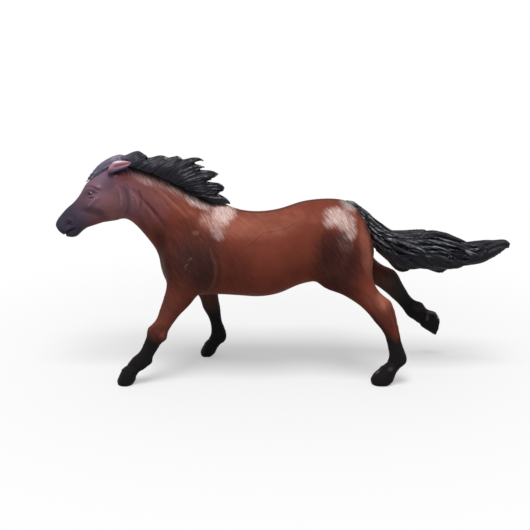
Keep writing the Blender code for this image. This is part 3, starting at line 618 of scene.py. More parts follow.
# Dark ink on eyelid, nostril and mouth, and painted shade in the cheek's hollow, behind it, in the throat's
# grooves and under the ear.
ink_and_shade_patches = [
    ((91.5, 191.4), (6.0, 2.8), 12, 0.62), ((86, 194), (5, 4), -40, 0.4),
    ((68.6, 224.0), (3.0, 3.4), 20, 0.4),
    ((93, 210.5), (12, 5), 12, 0.42), ((102, 215), (8, 5), 35, 0.3), ((108, 184), (8, 9), 0, 0.3),
    ((117, 172.5), (11, 3.5), -12, 0.6), ((91, 198), (2.6, 1.2), 0, 0.5),
]
ink_and_shade_lines = [
    ([(126.4, 189), (128.6, 197), (129.4, 205), (127.6, 213)], 3.4, 0.28),
    ([(133, 190), (141, 198.5), (149, 206.5), (157, 215), (166, 227)], 2.6, 0.32),
    ([(62.5, 238.5), (66.2, 233.8), (69, 231.6), (73, 229.8)], 1.6, 0.5),
    ([(139, 191), (141, 199), (141, 208)], 2.0, 0.35),
]
# Painted highlights on brow, the knob under the ear, nostril, cheek folds, facial crest, throat and shoulder
# nicks.
highlight_patches = [
    ((98.9, 186.6), (2.2, 1.0), -28, 1.0), ((115.4, 176.2), (1.8, 1.3), 0, 0.5),
    ((67.8, 221.2), (2.6, 0.8), -25, 0.25),
]
highlight_lines = [
    ([(120.4, 195), (121.4, 199), (121.2, 203.5)], 1.5, 0.4),
    ([(130.2, 190.5), (132.2, 195), (133.2, 199.5)], 1.5, 0.34),
    ([(97.4, 197.4), (93, 201.4), (88.6, 206.4)], 1.5, 0.25),
    ([(145, 206), (150, 211.5), (153, 216)], 1.3, 0.13),
    ([(191.6, 258.8), (189, 260.6)], 1.3, 0.26), ([(187, 265), (184, 268.6)], 1.2, 0.16),
]
mane_base = [
    (116, 166), (130, 167.5), (145, 172), (160, 177.6), (172, 182.6), (184, 189), (196, 195.6),
    (208, 201),
]
tail_base = [(346, 199), (356, 205), (364.5, 217), (369.5, 231)]
# Painted highlights along the elbow's and the neck's creases.
elbow_highlight = [(211, 253), (214, 261), (215.2, 272), (213.6, 283), (209, 289)]
neck_highlight = [(160, 190.5), (171, 201.6), (186.6, 217)]
# Painted grey glints on the near hooves and sheen at the tail's and mane's roots, and a faint grey tint on
# shoulder, forearm and gaskin.
grey_patches = [
    ((347, 204.5), (9, 5), 38, 0.42), ((377.6, 372.2), (2.8, 1.0), -35, 0.25),
    ((390.6, 369.6), (3.0, 2.4), 0, 0.11),
    ((232, 205.5), (8, 2.6), 24, 0.3), ((212, 203), (6, 2.4), 20, 0.3),
    ((199, 262), (26, 36), -8, 0.018), ((165, 315), (22, 26), 20, 0.025),
    ((380, 305), (14, 20), -20, 0.025),
]
# Painted grey glints on the raised hoof and fetlock, and a faint grey tint on the far legs.
far_grey_patches = [
    ((431.6, 312.4), (5.5, 1.8), 8, 0.36), ((427.4, 317), (1.6, 4.5), 5, 0.2),
    ((437, 315), (3.0, 2.0), 30, 0.15),
    ((418, 307), (6, 5), 20, 0.06), ((388, 281), (8, 6), 20, 0.04),
    ((392, 285), (24, 18), 30, 0.055), ((212, 300), (14, 14), 0, 0.05),
]

fore_black_edge = [(140, 330), (148, 334.5), (157, 339), (168, 342)]
hind_black_edge = [(374, 316), (380, 325), (388, 334), (397, 339), (404, 331)]
black_fade = 7.0
far_fore_black = (15.0, 30.0)
far_hind_black = (32.0, 46.0)
far_thigh_start = (27.0, 33.0)
far_thigh_top = (42.0, 52.0)
# Painted shade on the far side: how much darker its legs and thigh are painted.
far_leg_shade, far_thigh_shade = 0.42, 0.65
back_line_width = (0.3, 1.5)
back_line_slope = (0.7, 0.95)
back_line_start = (-22.0, -12.0)
back_line_low = 40.0
back_line_share = 0.8
mane_root_reach, mane_root_share = 9.5, 0.88
tail_root_reach, tail_root_share = 6.5, 0.9
muzzle_share = 0.92
muzzle_slant = 0.35
muzzle_row = 222.0
muzzle_columns = (70.0, 102.0)
eyeball = ((90.2, 193.4), (2.9, 1.8), 10, 1.0)
# A painted highlight on the eye: a glint and a short line of light.
eye_glint = ((91.0, 192.8), (1.1, 0.7), 45, 0.75)
eye_glint_line = [(87.8, 191.8), (89.6, 191.2), (91.4, 192.4), (92.6, 194.2)]
chip_spot = (438.9, 317.0)
chip_reach = (0.45, 0.75)
relief_rounds = 14
relief_height = 0.05

muzzle_reach = skin_places[:, 0] - muzzle_slant * (skin_places[:, 1] - muzzle_row)
in_front = points[:, 0] < 0.0
near_leg_black = on_near * np.where(
    in_front, below(fore_black_edge, black_fade), below(hind_black_edge, black_fade)
)
far_leg_black = (1.0 - on_near) * np.where(
    in_front, 1.0 - eased(points[:, 2], *far_fore_black), eased(points[:, 0], *far_hind_black)
)
# The far side's legs and thigh are painted darker, as painted shade.
far_thigh = eased(points[:, 0], *far_thigh_start) * (1.0 - eased(points[:, 2], *far_thigh_top))
far_side_shade = (1.0 - on_near) * np.maximum(far_leg_shade * low_down, far_thigh_shade * far_thigh)
back_line = 1.0 - eased(np.abs(points[:, 1]), *back_line_width)
back_line *= eased(ways[:, 2], *back_line_slope) * (points[:, 2] > back_line_low)
back_line *= back_line_share * eased(points[:, 0], *back_line_start)
on_chip = (np.hypot(*(picture_places(points) - chip_spot).T) < 1.0) & (on_near < 0.5)
chip_place = points[on_chip][points[on_chip][:, 1].argmin()]
far_grey = airbrushed(far_grey_patches, picture_places(points)) * (1.0 - on_near) * low_down
inked_and_shaded = [airbrushed(ink_and_shade_patches), *(brushed_along(*line) for line in ink_and_shade_lines)]
highlighted = [airbrushed(highlight_patches), *(brushed_along(*line) for line in highlight_lines)]
lit_marks = [
    airbrushed(lit_patches), brushed_along(elbow_highlight, 3.5, 0.15), brushed_along(neck_highlight, 2.4, 0.5),
]
tail_root = brushed_along(tail_base, tail_root_reach, tail_root_share)
tail_root *= 0.3 + 0.7 * eased(np.abs(ways[:, 1]), 0.1, 0.5)
carry_masks(skin, {
    "dark": np.maximum.reduce([airbrushed(dark_patches) * shared, far_side_shade, back_line]),
    "light": np.maximum.reduce(lit_marks) * shared,
    "grey": np.maximum(airbrushed(grey_patches) * shared, far_grey),
    "frost_and_sheen": airbrushed(frost_and_sheen_patches) * shared,
    "black": np.maximum(near_leg_black, far_leg_black) * low_down,
    "rooted": np.maximum(brushed_along(mane_base, mane_root_reach, mane_root_share), tail_root),
    "glare": airbrushed(glare_patches),
    "muzzle": muzzle_share * (1.0 - eased(muzzle_reach, *muzzle_columns)),
    "ink": np.maximum.reduce(inked_and_shaded) * shared,
    "highlight": np.maximum.reduce(highlighted) * shared,
    "eye": airbrushed([eyeball]),
    "glint": np.maximum(brushed_along(eye_glint_line, 0.8, 0.2), airbrushed([eye_glint])),
    "chip": 1.0 - eased(np.linalg.norm(points - chip_place, axis=1), *chip_reach),
    "relief": (marked - evened(marked, edges_of(skin), relief_rounds)) / relief_height,
})


def node(tree, kind, inputs=None, **settings):
    """Adds a node to a tree, with values or links for its inputs."""
    made = tree.nodes.new(kind)
    for key, value in settings.items():
        setattr(made, key, value)
    for key, value in (inputs or {}).items():
        if isinstance(value, bpy.types.NodeSocket):
            tree.links.new(value, made.inputs[key])
        else:
            made.inputs[key].default_value = value
    return made


def value_of(tree, name):
    """The mask that a mesh carries under a name."""
    return node(tree, "ShaderNodeAttribute", attribute_name=name).outputs["Fac"]


def worked(tree, operation, *values, clamp=False):
    """A sum or product of values."""
    inputs = dict(enumerate(values))
    return node(tree, "ShaderNodeMath", inputs, operation=operation, use_clamp=clamp).outputs["Value"]


def layered(tree, colour, over, share):
    """A colour with another painted over it where the share is high."""
    mix = node(tree, "ShaderNodeMix", data_type="RGBA")
    for socket, value in zip((mix.inputs[0], mix.inputs[6], mix.inputs[7]), (share, colour, over)):
        if isinstance(value, bpy.types.NodeSocket):
            tree.links.new(value, socket)
        else:
            socket.default_value = value
    return mix.outputs[2]


def paint(red, green, blue):
    """An opaque colour."""
    return (red, green, blue, 1.0)


def new_group(name, inputs, outputs):
    """An empty shader group with named inputs, each with its value, and named outputs."""
    group = bpy.data.node_groups.new(name, "ShaderNodeTree")
    kinds = {float: "NodeSocketFloat", tuple: "NodeSocketColor"}
    for key, value in inputs.items():
        socket = group.interface.new_socket(key, in_out="INPUT", socket_type=kinds[type(value)])
        socket.default_value = value
    for key in outputs:
        group.interface.new_socket(key, in_out="OUTPUT", socket_type="NodeSocketFloat")
    return group, group.nodes.new("NodeGroupInput"), group.nodes.new("NodeGroupOutput")


def combed_hair():
    """Fine short strokes that all lean one way across the side of the horse."""
    inputs = {"Lean": 0.9, "Fineness": 1.6, "Length": 5.0}
    group, given, put = new_group("combed hair", inputs, ("Strokes",))
    place = node(group, "ShaderNodeTexCoord").outputs["Object"]
    lean = {"Vector": place, "Angle": given.outputs["Lean"], "Axis": (0, 1, 0)}
    turned = node(group, "ShaderNodeVectorRotate", lean, rotation_type="AXIS_ANGLE").outputs["Vector"]
    across = worked(group, "MULTIPLY", given.outputs["Fineness"], 1.0 / MM)
    along = worked(group, "DIVIDE", across, given.outputs["Length"])
    deep = worked(group, "MULTIPLY", across, 0.2)
    stretch = node(group, "ShaderNodeCombineXYZ", {"X": along, "Y": deep, "Z": across}).outputs["Vector"]
    combed = node(group, "ShaderNodeVectorMath", {0: turned, 1: stretch}, operation="MULTIPLY")
    inputs = {"Vector": combed.outputs["Vector"], "Scale": 1.0, "Detail": 2.0, "Roughness": 0.6}
    noise = node(group, "ShaderNodeTexNoise", inputs)
    group.links.new(noise.outputs["Fac"], put.inputs["Strokes"])
    return group


combed_hair_group = combed_hair()


def strokes(tree, lean, fineness, length):
    """A combed hair group placed in a material."""
    inputs = {"Lean": lean, "Fineness": fineness, "Length": length}
    return node(tree, "ShaderNodeGroup", inputs, node_tree=combed_hair_group).outputs["Strokes"]


plastic_gloss = 0.12


def new_material(name, roughness):
    """A material with its tree and its Principled shader."""
    material = bpy.data.materials.new(name)
    material.use_nodes = True
    shader = material.node_tree.nodes["Principled BSDF"]
    shader.inputs["Roughness"].default_value = roughness
    shader.inputs["Specular IOR Level"].default_value = plastic_gloss
    return material, material.node_tree, shader


def plastic_surface():
    """Cloudy wear and fine specks in the paint, and how rough they leave it."""
    inputs = {"Cloud scale": 160.0, "Roughness": 0.45}
    group, given, put = new_group("plastic surface", inputs, ("Cloud", "Speck", "Roughness"))
    place = node(group, "ShaderNodeTexCoord").outputs["Object"]
    inputs = {"Vector": place, "Scale": given.outputs["Cloud scale"], "Detail": 3.0}
    cloud = node(group, "ShaderNodeTexNoise", inputs)
    speck = node(group, "ShaderNodeTexNoise", {"Vector": place, "Scale": 1500.0, "Detail": 2.0})
    uneven = worked(group, "ADD", cloud.outputs["Fac"], speck.outputs["Fac"])
    shift = worked(group, "MULTIPLY_ADD", uneven, 0.12, -0.12)
    group.links.new(cloud.outputs["Fac"], put.inputs["Cloud"])
    group.links.new(speck.outputs["Fac"], put.inputs["Speck"])
    group.links.new(worked(group, "ADD", given.outputs["Roughness"], shift), put.inputs["Roughness"])
    return group


plastic_surface_group = plastic_surface()


def surfaced(tree, cloud_scale, roughness):
    """A plastic surface group placed in a material."""
    inputs = {"Cloud scale": cloud_scale, "Roughness": roughness}
    made = node(tree, "ShaderNodeGroup", inputs, node_tree=plastic_surface_group)
    return made.outputs["Cloud"], made.outputs["Speck"], made.outputs["Roughness"]


bay = paint(0.208, 0.049, 0.030)
lit_bay = paint(0.42, 0.142, 0.093)
deep_bay = paint(0.13, 0.028, 0.017)
dark_brown = paint(0.030, 0.0135, 0.0133)
leg_black = paint(0.0138, 0.0121, 0.0118)
brushed_white_and_sheen = paint(0.74, 0.54, 0.50)
face_glare = paint(0.235, 0.150, 0.215)
muzzle_grey = paint(0.046, 0.044, 0.070)
ink_and_crease_shade = paint(0.045, 0.023, 0.036)
highlight_pink = paint(0.44, 0.29, 0.30)
grey_sheen_and_tint = paint(0.36, 0.36, 0.345)
eye_black = paint(0.020, 0.015, 0.026)
glint_grey = paint(0.44, 0.39, 0.44)
bare_plastic = paint(0.70, 0.55, 0.41)

coat_gloss = 0.04
coat_clouds = 160.0
coat_roughness = 0.56
# Combed strokes in the paint: lean in degrees, fineness and length
coat_strokes = {"steep": (-55.0, 1.7, 7.0), "flat": (-38.0, 1.1, 7.0), "fine": (-54.0, 2.6, 10.0)}
light_feather, dark_feather, root_feather, black_feather = 3.0, 4.0, 9.0, 2.0
frost_and_sheen_feather, fine_frost_and_sheen_feather = 5.0, 4.5
mottle_contrast, mottle_shift = 1.4, -0.55
streak_contrast, streak_shift = 3.2, -1.1
frost_and_sheen_streaks, frost_and_sheen_relief, frost_and_sheen_ground = 0.5, 0.1, 0.58
speck_contrast, speck_shift = 4.0, -1.2
hollow_share = -0.2
ridge_share, ridge_limit = 0.10, 0.16
sheen_stroke_share = 2.0
wet_eye = -0.35
steep_grain, flat_grain, fine_grain, speck_grain = 0.6, 0.4, 0.3, 0.12
coat_bump = {"Distance": 0.00006, "Strength": 0.55}

coat, tree, shader = new_material("bay coat", 0.45)
shader.inputs["Specular IOR Level"].default_value = coat_gloss
cloud, speck, rough = surfaced(tree, coat_clouds, coat_roughness)
steep, flat, fine = (
    strokes(tree, math.radians(lean), fineness, length) for lean, fineness, length in coat_strokes.values()
)
relief_value = value_of(tree, "relief")


def feathered(tree, mask, noise, depth):
    """A mask whose soft edge is broken into strokes by a noise."""
    edge = worked(tree, "MULTIPLY", mask, worked(tree, "SUBTRACT", 1.0, mask, clamp=True))
    shift = worked(tree, "MULTIPLY", worked(tree, "SUBTRACT", noise, 0.5), depth)
    return worked(tree, "ADD", mask, worked(tree, "MULTIPLY", edge, shift), clamp=True)


# Painted light: lit bay over the tops and as highlights.
colour = layered(tree, bay, lit_bay, feathered(tree, value_of(tree, "light"), flat, light_feather))
mottled = worked(tree, "MULTIPLY_ADD", cloud, mottle_contrast, mottle_shift, clamp=True)
colour = layered(tree, colour, deep_bay, mottled)
colour = layered(tree, colour, dark_brown, feathered(tree, value_of(tree, "dark"), steep, dark_feather))
# Painted violet glare of light over the head.
colour = layered(tree, colour, face_glare, value_of(tree, "glare"))
# Darker in the sculpted grooves and paler on the ridges: partly a paint wash and dry-brushing, partly painted
# shade and highlight.
hollow = worked(tree, "MULTIPLY", relief_value, hollow_share, clamp=True)
colour = layered(tree, colour, dark_brown, hollow)
ridge = worked(tree, "MINIMUM", worked(tree, "MULTIPLY", relief_value, ridge_share, clamp=True), ridge_limit)
colour = layered(tree, colour, lit_bay, ridge)
# Pale dry-brushing in strokes, partly painted highlight.
frost_and_sheen = feathered(tree, value_of(tree, "frost_and_sheen"), steep, frost_and_sheen_feather)
frost_and_sheen = feathered(tree, frost_and_sheen, fine, fine_frost_and_sheen_feather)
streak = worked(tree, "MULTIPLY_ADD", fine, streak_contrast, streak_shift, clamp=True)
uneven = worked(tree, "MULTIPLY_ADD", relief_value, frost_and_sheen_relief, frost_and_sheen_ground)
uneven = worked(tree, "MULTIPLY_ADD", streak, frost_and_sheen_streaks, uneven)
colour = layered(tree, colour, brushed_white_and_sheen, worked(tree, "MULTIPLY", frost_and_sheen, uneven, clamp=True))
# Black muzzle paint, then ink and painted shade in the creases.
for over, name in ((muzzle_grey, "muzzle"), (ink_and_crease_shade, "ink")):
    colour = layered(tree, colour, over, value_of(tree, name))
for name, feather in (("rooted", root_feather), ("black", black_feather)):
    colour = layered(tree, colour, leg_black, feathered(tree, value_of(tree, name), steep, feather))
# Painted highlights, broken by specks.
specked = worked(tree, "MULTIPLY_ADD", speck, speck_contrast, speck_shift, clamp=True)
broken_highlight = worked(tree, "MULTIPLY", value_of(tree, "highlight"), specked)
colour = layered(tree, colour, highlight_pink, broken_highlight)
# Painted grey glints and sheen, with a faint grey tint, broken into strokes.
sheen_strokes = worked(tree, "MULTIPLY", fine, sheen_stroke_share, clamp=True)
grey_sheen_strokes = worked(tree, "MULTIPLY", value_of(tree, "grey"), sheen_strokes)
colour = layered(tree, colour, grey_sheen_and_tint, grey_sheen_strokes)
# Eye paint, a painted glint of light on it, and a chip of bare plastic.
for over, name in ((eye_black, "eye"), (glint_grey, "glint"), (bare_plastic, "chip")):
    colour = layered(tree, colour, over, value_of(tree, name))
tree.links.new(colour, shader.inputs["Base Color"])
glossy = worked(tree, "MULTIPLY_ADD", value_of(tree, "eye"), wet_eye, rough)
tree.links.new(glossy, shader.inputs["Roughness"])
grain = worked(tree, "MULTIPLY", steep, steep_grain)
for noise, share in ((flat, flat_grain), (fine, fine_grain), (speck, speck_grain)):
    grain = worked(tree, "MULTIPLY_ADD", noise, share, grain)
bump = node(tree, "ShaderNodeBump", {"Height": grain, **coat_bump})
tree.links.new(bump.outputs["Normal"], shader.inputs["Normal"])

# The seams
# The halves meet at the middle plane, and each leg at the flat face round its plug. Each cut is closed
# with a flat cap, and the skin's parts ride the body in place of the frame's nodes.
cut_reach = 11.0
cut_precision = 1e-8
middle_place = (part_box(half_nodes["left"])[1][1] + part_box(half_nodes["right"])[0][1]) / 2


def connected(start):
    """The points that edges join to a point."""
    found = {start}
    front = {start}
    while front:
        front = {link.other_vert(vert) for vert in front for link in vert.link_edges} - found
        found |= front
    return found


def closed(bm, way):
    """Closes a flat cut with a cap that faces a given way, with sharp edges."""
    rim = [edge for edge in bm.edges if edge.is_boundary]
    for edge in rim:
        edge.smooth = False
    made = bmesh.ops.triangle_fill(bm, edges=rim, use_beauty=False)["geom"]
    for face in made:
        if isinstance(face, bmesh.types.BMFace) and face.normal.dot(way) < 0:
            face.normal_flip()


def parted(mesh, place, way, reach, hoof):
    """The part of a closed mesh before a flat place, and the part beyond it that holds the hoof."""
    pieces = []
    for beyond in (False, True):
        bm = bmesh.new()
        bm.from_mesh(mesh)
        near = [vert for vert in bm.verts if (vert.co - place).length < reach]
        nearby = {edge for vert in near for edge in vert.link_edges}
        faces = {face for vert in near for face in vert.link_faces}
        cut = bmesh.ops.bisect_plane(
            bm, geom=[*near, *nearby, *faces], dist=cut_precision, plane_co=place, plane_no=way,
        )["geom_cut"]
        bmesh.ops.split_edges(bm, edges=[edge for edge in cut if isinstance(edge, bmesh.types.BMEdge)])
        tip = min(bm.verts, key=lambda vert: (vert.co - hoof).length)
        taken = connected(tip)
        lost = [vert for vert in bm.verts if (vert in taken) != beyond]
        bmesh.ops.delete(bm, geom=lost, context="VERTS")
        closed(bm, -way if beyond else way)
        part = bpy.data.meshes.new("part")
        bm.to_mesh(part)
        bm.free()
        pieces.append(part)
    return pieces


def finished(name, mesh, material, slot, *nodes):
    """Makes a mesh a smooth piece that rides the body and stands for some of the frame's nodes."""
    mesh.materials.clear()
    mesh.materials.append(material)
    mesh.shade_smooth()
    piece = bpy.data.objects.new(name, mesh)
    scene.collection.objects.link(piece)
    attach(piece, "root")
    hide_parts(*nodes)


body_centre = sum((Vector(corner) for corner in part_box(half_nodes["left"])), Vector()) / 2
rest = skin
for name in leg_nodes:
    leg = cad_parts[name].data
    leg_centre = sum((Vector(corner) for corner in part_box(name)), Vector()) / 2
    flats = {}
    for face in leg.polygons:
        if face.normal.dot(body_centre - leg_centre) > 0.0:
            key = tuple(round(value, 3) for value in (*face.normal, face.normal.dot(face.center) / MM))
            flats.setdefault(key, []).append(face)
    flat_faces = max(flats.values(), key=lambda faces: sum(face.area for face in faces))
    way = flat_faces[0].normal.copy()
    flat_area = sum(face.area for face in flat_faces)
    place = sum((face.center * face.area for face in flat_faces), Vector()) / flat_area
    place += way * seam_fill / 2 * MM
    hoof = min((vert.co for vert in leg.vertices), key=lambda co: (co - leg_centre).dot(way)).copy()
    rest, part = parted(rest, place, -way, cut_reach * MM, hoof)
    slot = "bay_leg" if leg_nodes[name] == "left" else "dark_leg"
    finished(name + "_skin", part, coat, slot, name)
for side, way in (("left", 1.0), ("right", -1.0)):
    bm = bmesh.new()
    bm.from_mesh(rest)
    bmesh.ops.bisect_plane(
        bm, geom=[*bm.verts, *bm.edges, *bm.faces], dist=cut_precision, plane_co=(0, middle_place, 0),
        plane_no=(0, way, 0), clear_outer=True,
    )
    closed(bm, Vector((0, way, 0)))
    half = bpy.data.meshes.new("half")
    bm.to_mesh(half)
    bm.free()
    finished("body_" + side + "_skin", half, coat, "bay_coat", half_nodes[side])

# Ears
# Short ears, moulded apart and cemented on, pinned back against the poll. Their shells are hollowed
# and painted pink, with a painted highlight along the upper rim and painted shadow over the lower part and
# tip.
ear_voxel = 0.16
ear_rounds = 4
ear_root_column = 111.0
ear_length = 21.0
ear_rim_row, ear_rim_rise = 163.0, 2.2
ear_low_row, ear_low_rise = 172.5, 8.0
bowl_depth = 0.75
bowl_middle, bowl_width = 0.58, 0.26
root_tuck = 1.6
root_rows = (171.5, 176.0)
ear_pink = paint(0.58, 0.26, 0.31)
ear_rose = paint(0.42, 0.19, 0.24)
# Painted highlight for the rim, and painted shadow for the ear's lower part and deep end.
ear_rim_highlight = paint(0.85, 0.76, 0.84)
ear_shadow = paint(0.24, 0.165, 0.26)
ear_deep_shade = paint(0.14, 0.095, 0.145)

ear_paint, tree, shader = new_material("ear pink", 0.45)
cloud, speck, rough = surfaced(tree, 600.0, 0.45)
colour = layered(tree, ear_pink, ear_rose, cloud)
colour = layered(tree, colour, ear_rim_highlight, value_of(tree, "rim"))
colour = layered(tree, colour, ear_shadow, value_of(tree, "shadow"))
colour = layered(tree, colour, ear_deep_shade, value_of(tree, "deep"))
tree.links.new(colour, shader.inputs["Base Color"])
tree.links.new(rough, shader.inputs["Roughness"])
bump = node(tree, "ShaderNodeBump", {"Height": cloud, "Distance": 0.00005, "Strength": 0.4})
tree.links.new(bump.outputs["Normal"], shader.inputs["Normal"])

for name, outward in (("left_ear", -1.0), ("right_ear", 1.0)):
    ear = remade([name], 0.0, ear_voxel)
    soften(ear, ear_rounds)
    points = points_of(ear)
    ways = normals_of(ear)
    ear_places = picture_places(points * (1.0, 0.0, 1.0) - np.abs(points) * (0.0, 1.0, 0.0))
    along = (ear_places[:, 0] - ear_root_column) / ear_length
    rim = ear_rim_row - ear_rim_rise * along
    low = ear_low_row - ear_low_rise * along
    depth = (ear_places[:, 1] - rim) / (low - rim)
    bowl = np.exp(-(((depth - bowl_middle) / bowl_width) ** 2))
    bowl *= eased(along, 0.0, 0.25) * (1.0 - eased(along, 0.7, 1.0))
    points -= (bowl_depth * bowl * eased(outward * ways[:, 1], 0.1, 0.6))[:, None] * ways
    points[:, 1] -= outward * root_tuck * eased(ear_places[:, 1], *root_rows)
    move_points(ear, points)
    # Where the painted shadow, the rim's painted highlight and the deeper painted shade lie on the ear.
    carry_masks(ear, {
        "shadow": np.clip(eased(depth - 0.35 * along, 0.50, 0.72) + eased(along, 0.80, 0.95), 0.0, 1.0),
        "rim": (1.0 - eased(depth, -0.02, 0.10)) * (1.0 - 0.6 * eased(along, 0.35, 0.6)),
        "deep": eased(depth, 0.85, 1.1),
    })
    finished(name + "_shell", ear, ear_paint, "ear_pink", name)

# Mane, forelock and tail
# Hair moulded in black plastic as wavy locks that taper to points. Each lock follows a path that
# sweeps a round section, and the locks are melted into the core that the frame gives.
hair_voxel = 0.24
hair_rounds = 1
raised_rounds = 7
raised_start, raised_span = 0.018, 0.045
lock_sides = 10
poll_columns = (-60.0, -52.0)
poll_glare_columns = (-60.0, -49.0)
crest_glare, crest_columns = 0.1, (-50.0, -24.0)
forelock_columns = (-69.0, -62.0)
dock_start, dock_end = (20.0, 30.0), (76.0, 86.0)
least_glint, least_side_glint = 0.05, 0.2


def locks_tree():
    """Geometry nodes that sweep a round section along paths, as thick as their points say."""
    tree = bpy.data.node_groups.new("swept locks", "GeometryNodeTree")
    for name, kind, value in (("Geometry", "NodeSocketGeometry", None), ("Sides", "NodeSocketInt", 8)):
        socket = tree.interface.new_socket(name, in_out="INPUT", socket_type=kind)
        if value:
            socket.default_value = value
    tree.interface.new_socket("Hair", in_out="INPUT", socket_type="NodeSocketMaterial")
    tree.interface.new_socket("Geometry", in_out="OUTPUT", socket_type="NodeSocketGeometry")
    given = tree.nodes.new("NodeGroupInput")
    paths = node(tree, "GeometryNodeMeshToCurve", {"Mesh": given.outputs["Geometry"]}).outputs["Curve"]
    thick = node(tree, "GeometryNodeInputNamedAttribute", {"Name": "thickness"}).outputs["Attribute"]
    inputs = {"Resolution": given.outputs["Sides"], "Radius": 1.0}
    section = node(tree, "GeometryNodeCurvePrimitiveCircle", inputs)
    swept = node(
        tree, "GeometryNodeCurveToMesh",
        {"Curve": paths, "Profile Curve": section.outputs["Curve"], "Scale": thick, "Fill Caps": True},
    ).outputs["Mesh"]
    real = node(tree, "GeometryNodeRealizeInstances", {"Geometry": swept}).outputs["Geometry"]
    dressed = node(tree, "GeometryNodeSetMaterial", {"Geometry": real, "Material": given.outputs["Hair"]})
    put = tree.nodes.new("NodeGroupOutput")
    tree.links.new(dressed.outputs["Geometry"], put.inputs["Geometry"])
    return tree


swept_locks = locks_tree()
# Where painted glints of light lie on the hair's ridges: centre, reach, lean and strength.
hair_glints = [
    ((352, 206), (12, 6), 40, 0.9), ((368, 222), (18, 8), 48, 1.0), ((384, 234), (16, 8), 30, 0.9),
    ((402, 240), (20, 8), 15, 0.9), ((417, 250), (18, 6), 20, 0.9), ((436, 243), (24, 7), 10, 0.8),
    ((420, 231.5), (9, 3), -5, 0.7), ((473, 251), (9, 5), -25, 0.8), ((492, 248), (18, 4), -15, 0.15),
    ((384, 246), (16, 4), 35, 0.4), ((446, 255), (14, 4), 20, 0.4), ((205, 171), (26, 6), 12, 0.8),
    ((206, 181), (26, 6), 15, 0.8), ((214, 194), (20, 5), 20, 0.7), ((194, 163), (12, 5), 20, 0.5),
    ((149, 160), (3, 2), 0, 0.5), ((160, 162), (24, 7), -25, 0.3),
]
worn_tips = [((180.8, 157.2), (2.4, 1.7), 0, 1.0), ((165.6, 158.0), (1.8, 1.5), 40, 0.35)]
socket_names = {
    item.name: item.identifier for item in swept_locks.interface.items_tree if item.in_out == "INPUT"
}

# Black hair, with painted grey glints, brown under the dock, a painted violet glare and cream chips.
hair_black = paint(0.0055, 0.0058, 0.0100)
hair_glint_grey = paint(0.43, 0.44, 0.47)
dock_brown = paint(0.045, 0.016, 0.013)
poll_glare = paint(0.31, 0.265, 0.39)
chip_cream = paint(0.62, 0.50, 0.40)
hair_gloss = 0.14
hair_clouds = 420.0
hair_roughness = 0.36
strand_fineness, strand_length = 3.2, 12.0
strand_clouds = 0.5
streak_contrast, streak_shift = 6.0, -4.1
chip_contrast, chip_shift = 6.0, -2.2
glare_relief, glare_ground = 0.5, 0.4
dull_poll = 0.25
strand_grain = 1.6
hair_bump = {"Distance": 0.00010, "Strength": 0.6}

hair_paint, tree, shader = new_material("black hair", 0.4)
shader.inputs["Specular IOR Level"].default_value = hair_gloss
cloud, speck, rough = surfaced(tree, hair_clouds, hair_roughness)
raised = value_of(tree, "raised")
strands = strokes(tree, value_of(tree, "lean"), strand_fineness, strand_length)
clouded = worked(tree, "MULTIPLY_ADD", cloud, strand_clouds, strands)
streaks = worked(tree, "MULTIPLY_ADD", clouded, streak_contrast, streak_shift, clamp=True)
# Painted glints of light along the ridges of the locks, broken into streaks.
ridge_glints = worked(tree, "MULTIPLY", streaks, raised, clamp=True)
colour = layered(tree, hair_black, dock_brown, value_of(tree, "dock"))
colour = layered(tree, colour, hair_glint_grey, ridge_glints)
# Painted violet glare of light over the poll's hair, brighter on its ridges.
glare_share = worked(tree, "MULTIPLY_ADD", raised, glare_relief, glare_ground)
colour = layered(tree, colour, poll_glare, worked(tree, "MULTIPLY", value_of(tree, "poll"), glare_share))
patchy = worked(tree, "MULTIPLY_ADD", cloud, chip_contrast, chip_shift, clamp=True)
chip = worked(tree, "MULTIPLY", patchy, value_of(tree, "tip"))
colour = layered(tree, colour, chip_cream, chip)
tree.links.new(colour, shader.inputs["Base Color"])
dull = worked(tree, "MULTIPLY_ADD", value_of(tree, "poll"), dull_poll, rough)
tree.links.new(dull, shader.inputs["Roughness"])
grain = worked(tree, "MULTIPLY_ADD", strands, strand_grain, cloud)
bump = node(tree, "ShaderNodeBump", {"Height": grain, **hair_bump})
tree.links.new(bump.outputs["Normal"], shader.inputs["Normal"])


def swept(paths):
    """The mesh of round locks along paths, each a list of points in mm and their radii."""
    points, edges, thickness = [], [], []
    for path, radii in paths:
        first = len(points)
        points += list(path)
        edges += [(i, i + 1) for i in range(first, len(points) - 1)]
        thickness += list(radii)
    mesh = bpy.data.meshes.new("paths")
    mesh.from_pydata((np.array(points) * MM).tolist(), edges, [])
    radius = mesh.attributes.new("thickness", "FLOAT", "POINT")
    radius.data.foreach_set("value", np.array(thickness, np.float32) * MM)
    holder = bpy.data.objects.new("locks", mesh)
    scene.collection.objects.link(holder)
    modifier = holder.modifiers.new("Locks", "NODES")
    modifier.node_group = swept_locks
    modifier[socket_names["Sides"]] = lock_sides
    modifier[socket_names["Hair"]] = hair_paint
    graph = bpy.context.evaluated_depsgraph_get()
    made = bpy.data.meshes.new_from_object(holder.evaluated_get(graph))
    bpy.data.objects.remove(holder)
    return made


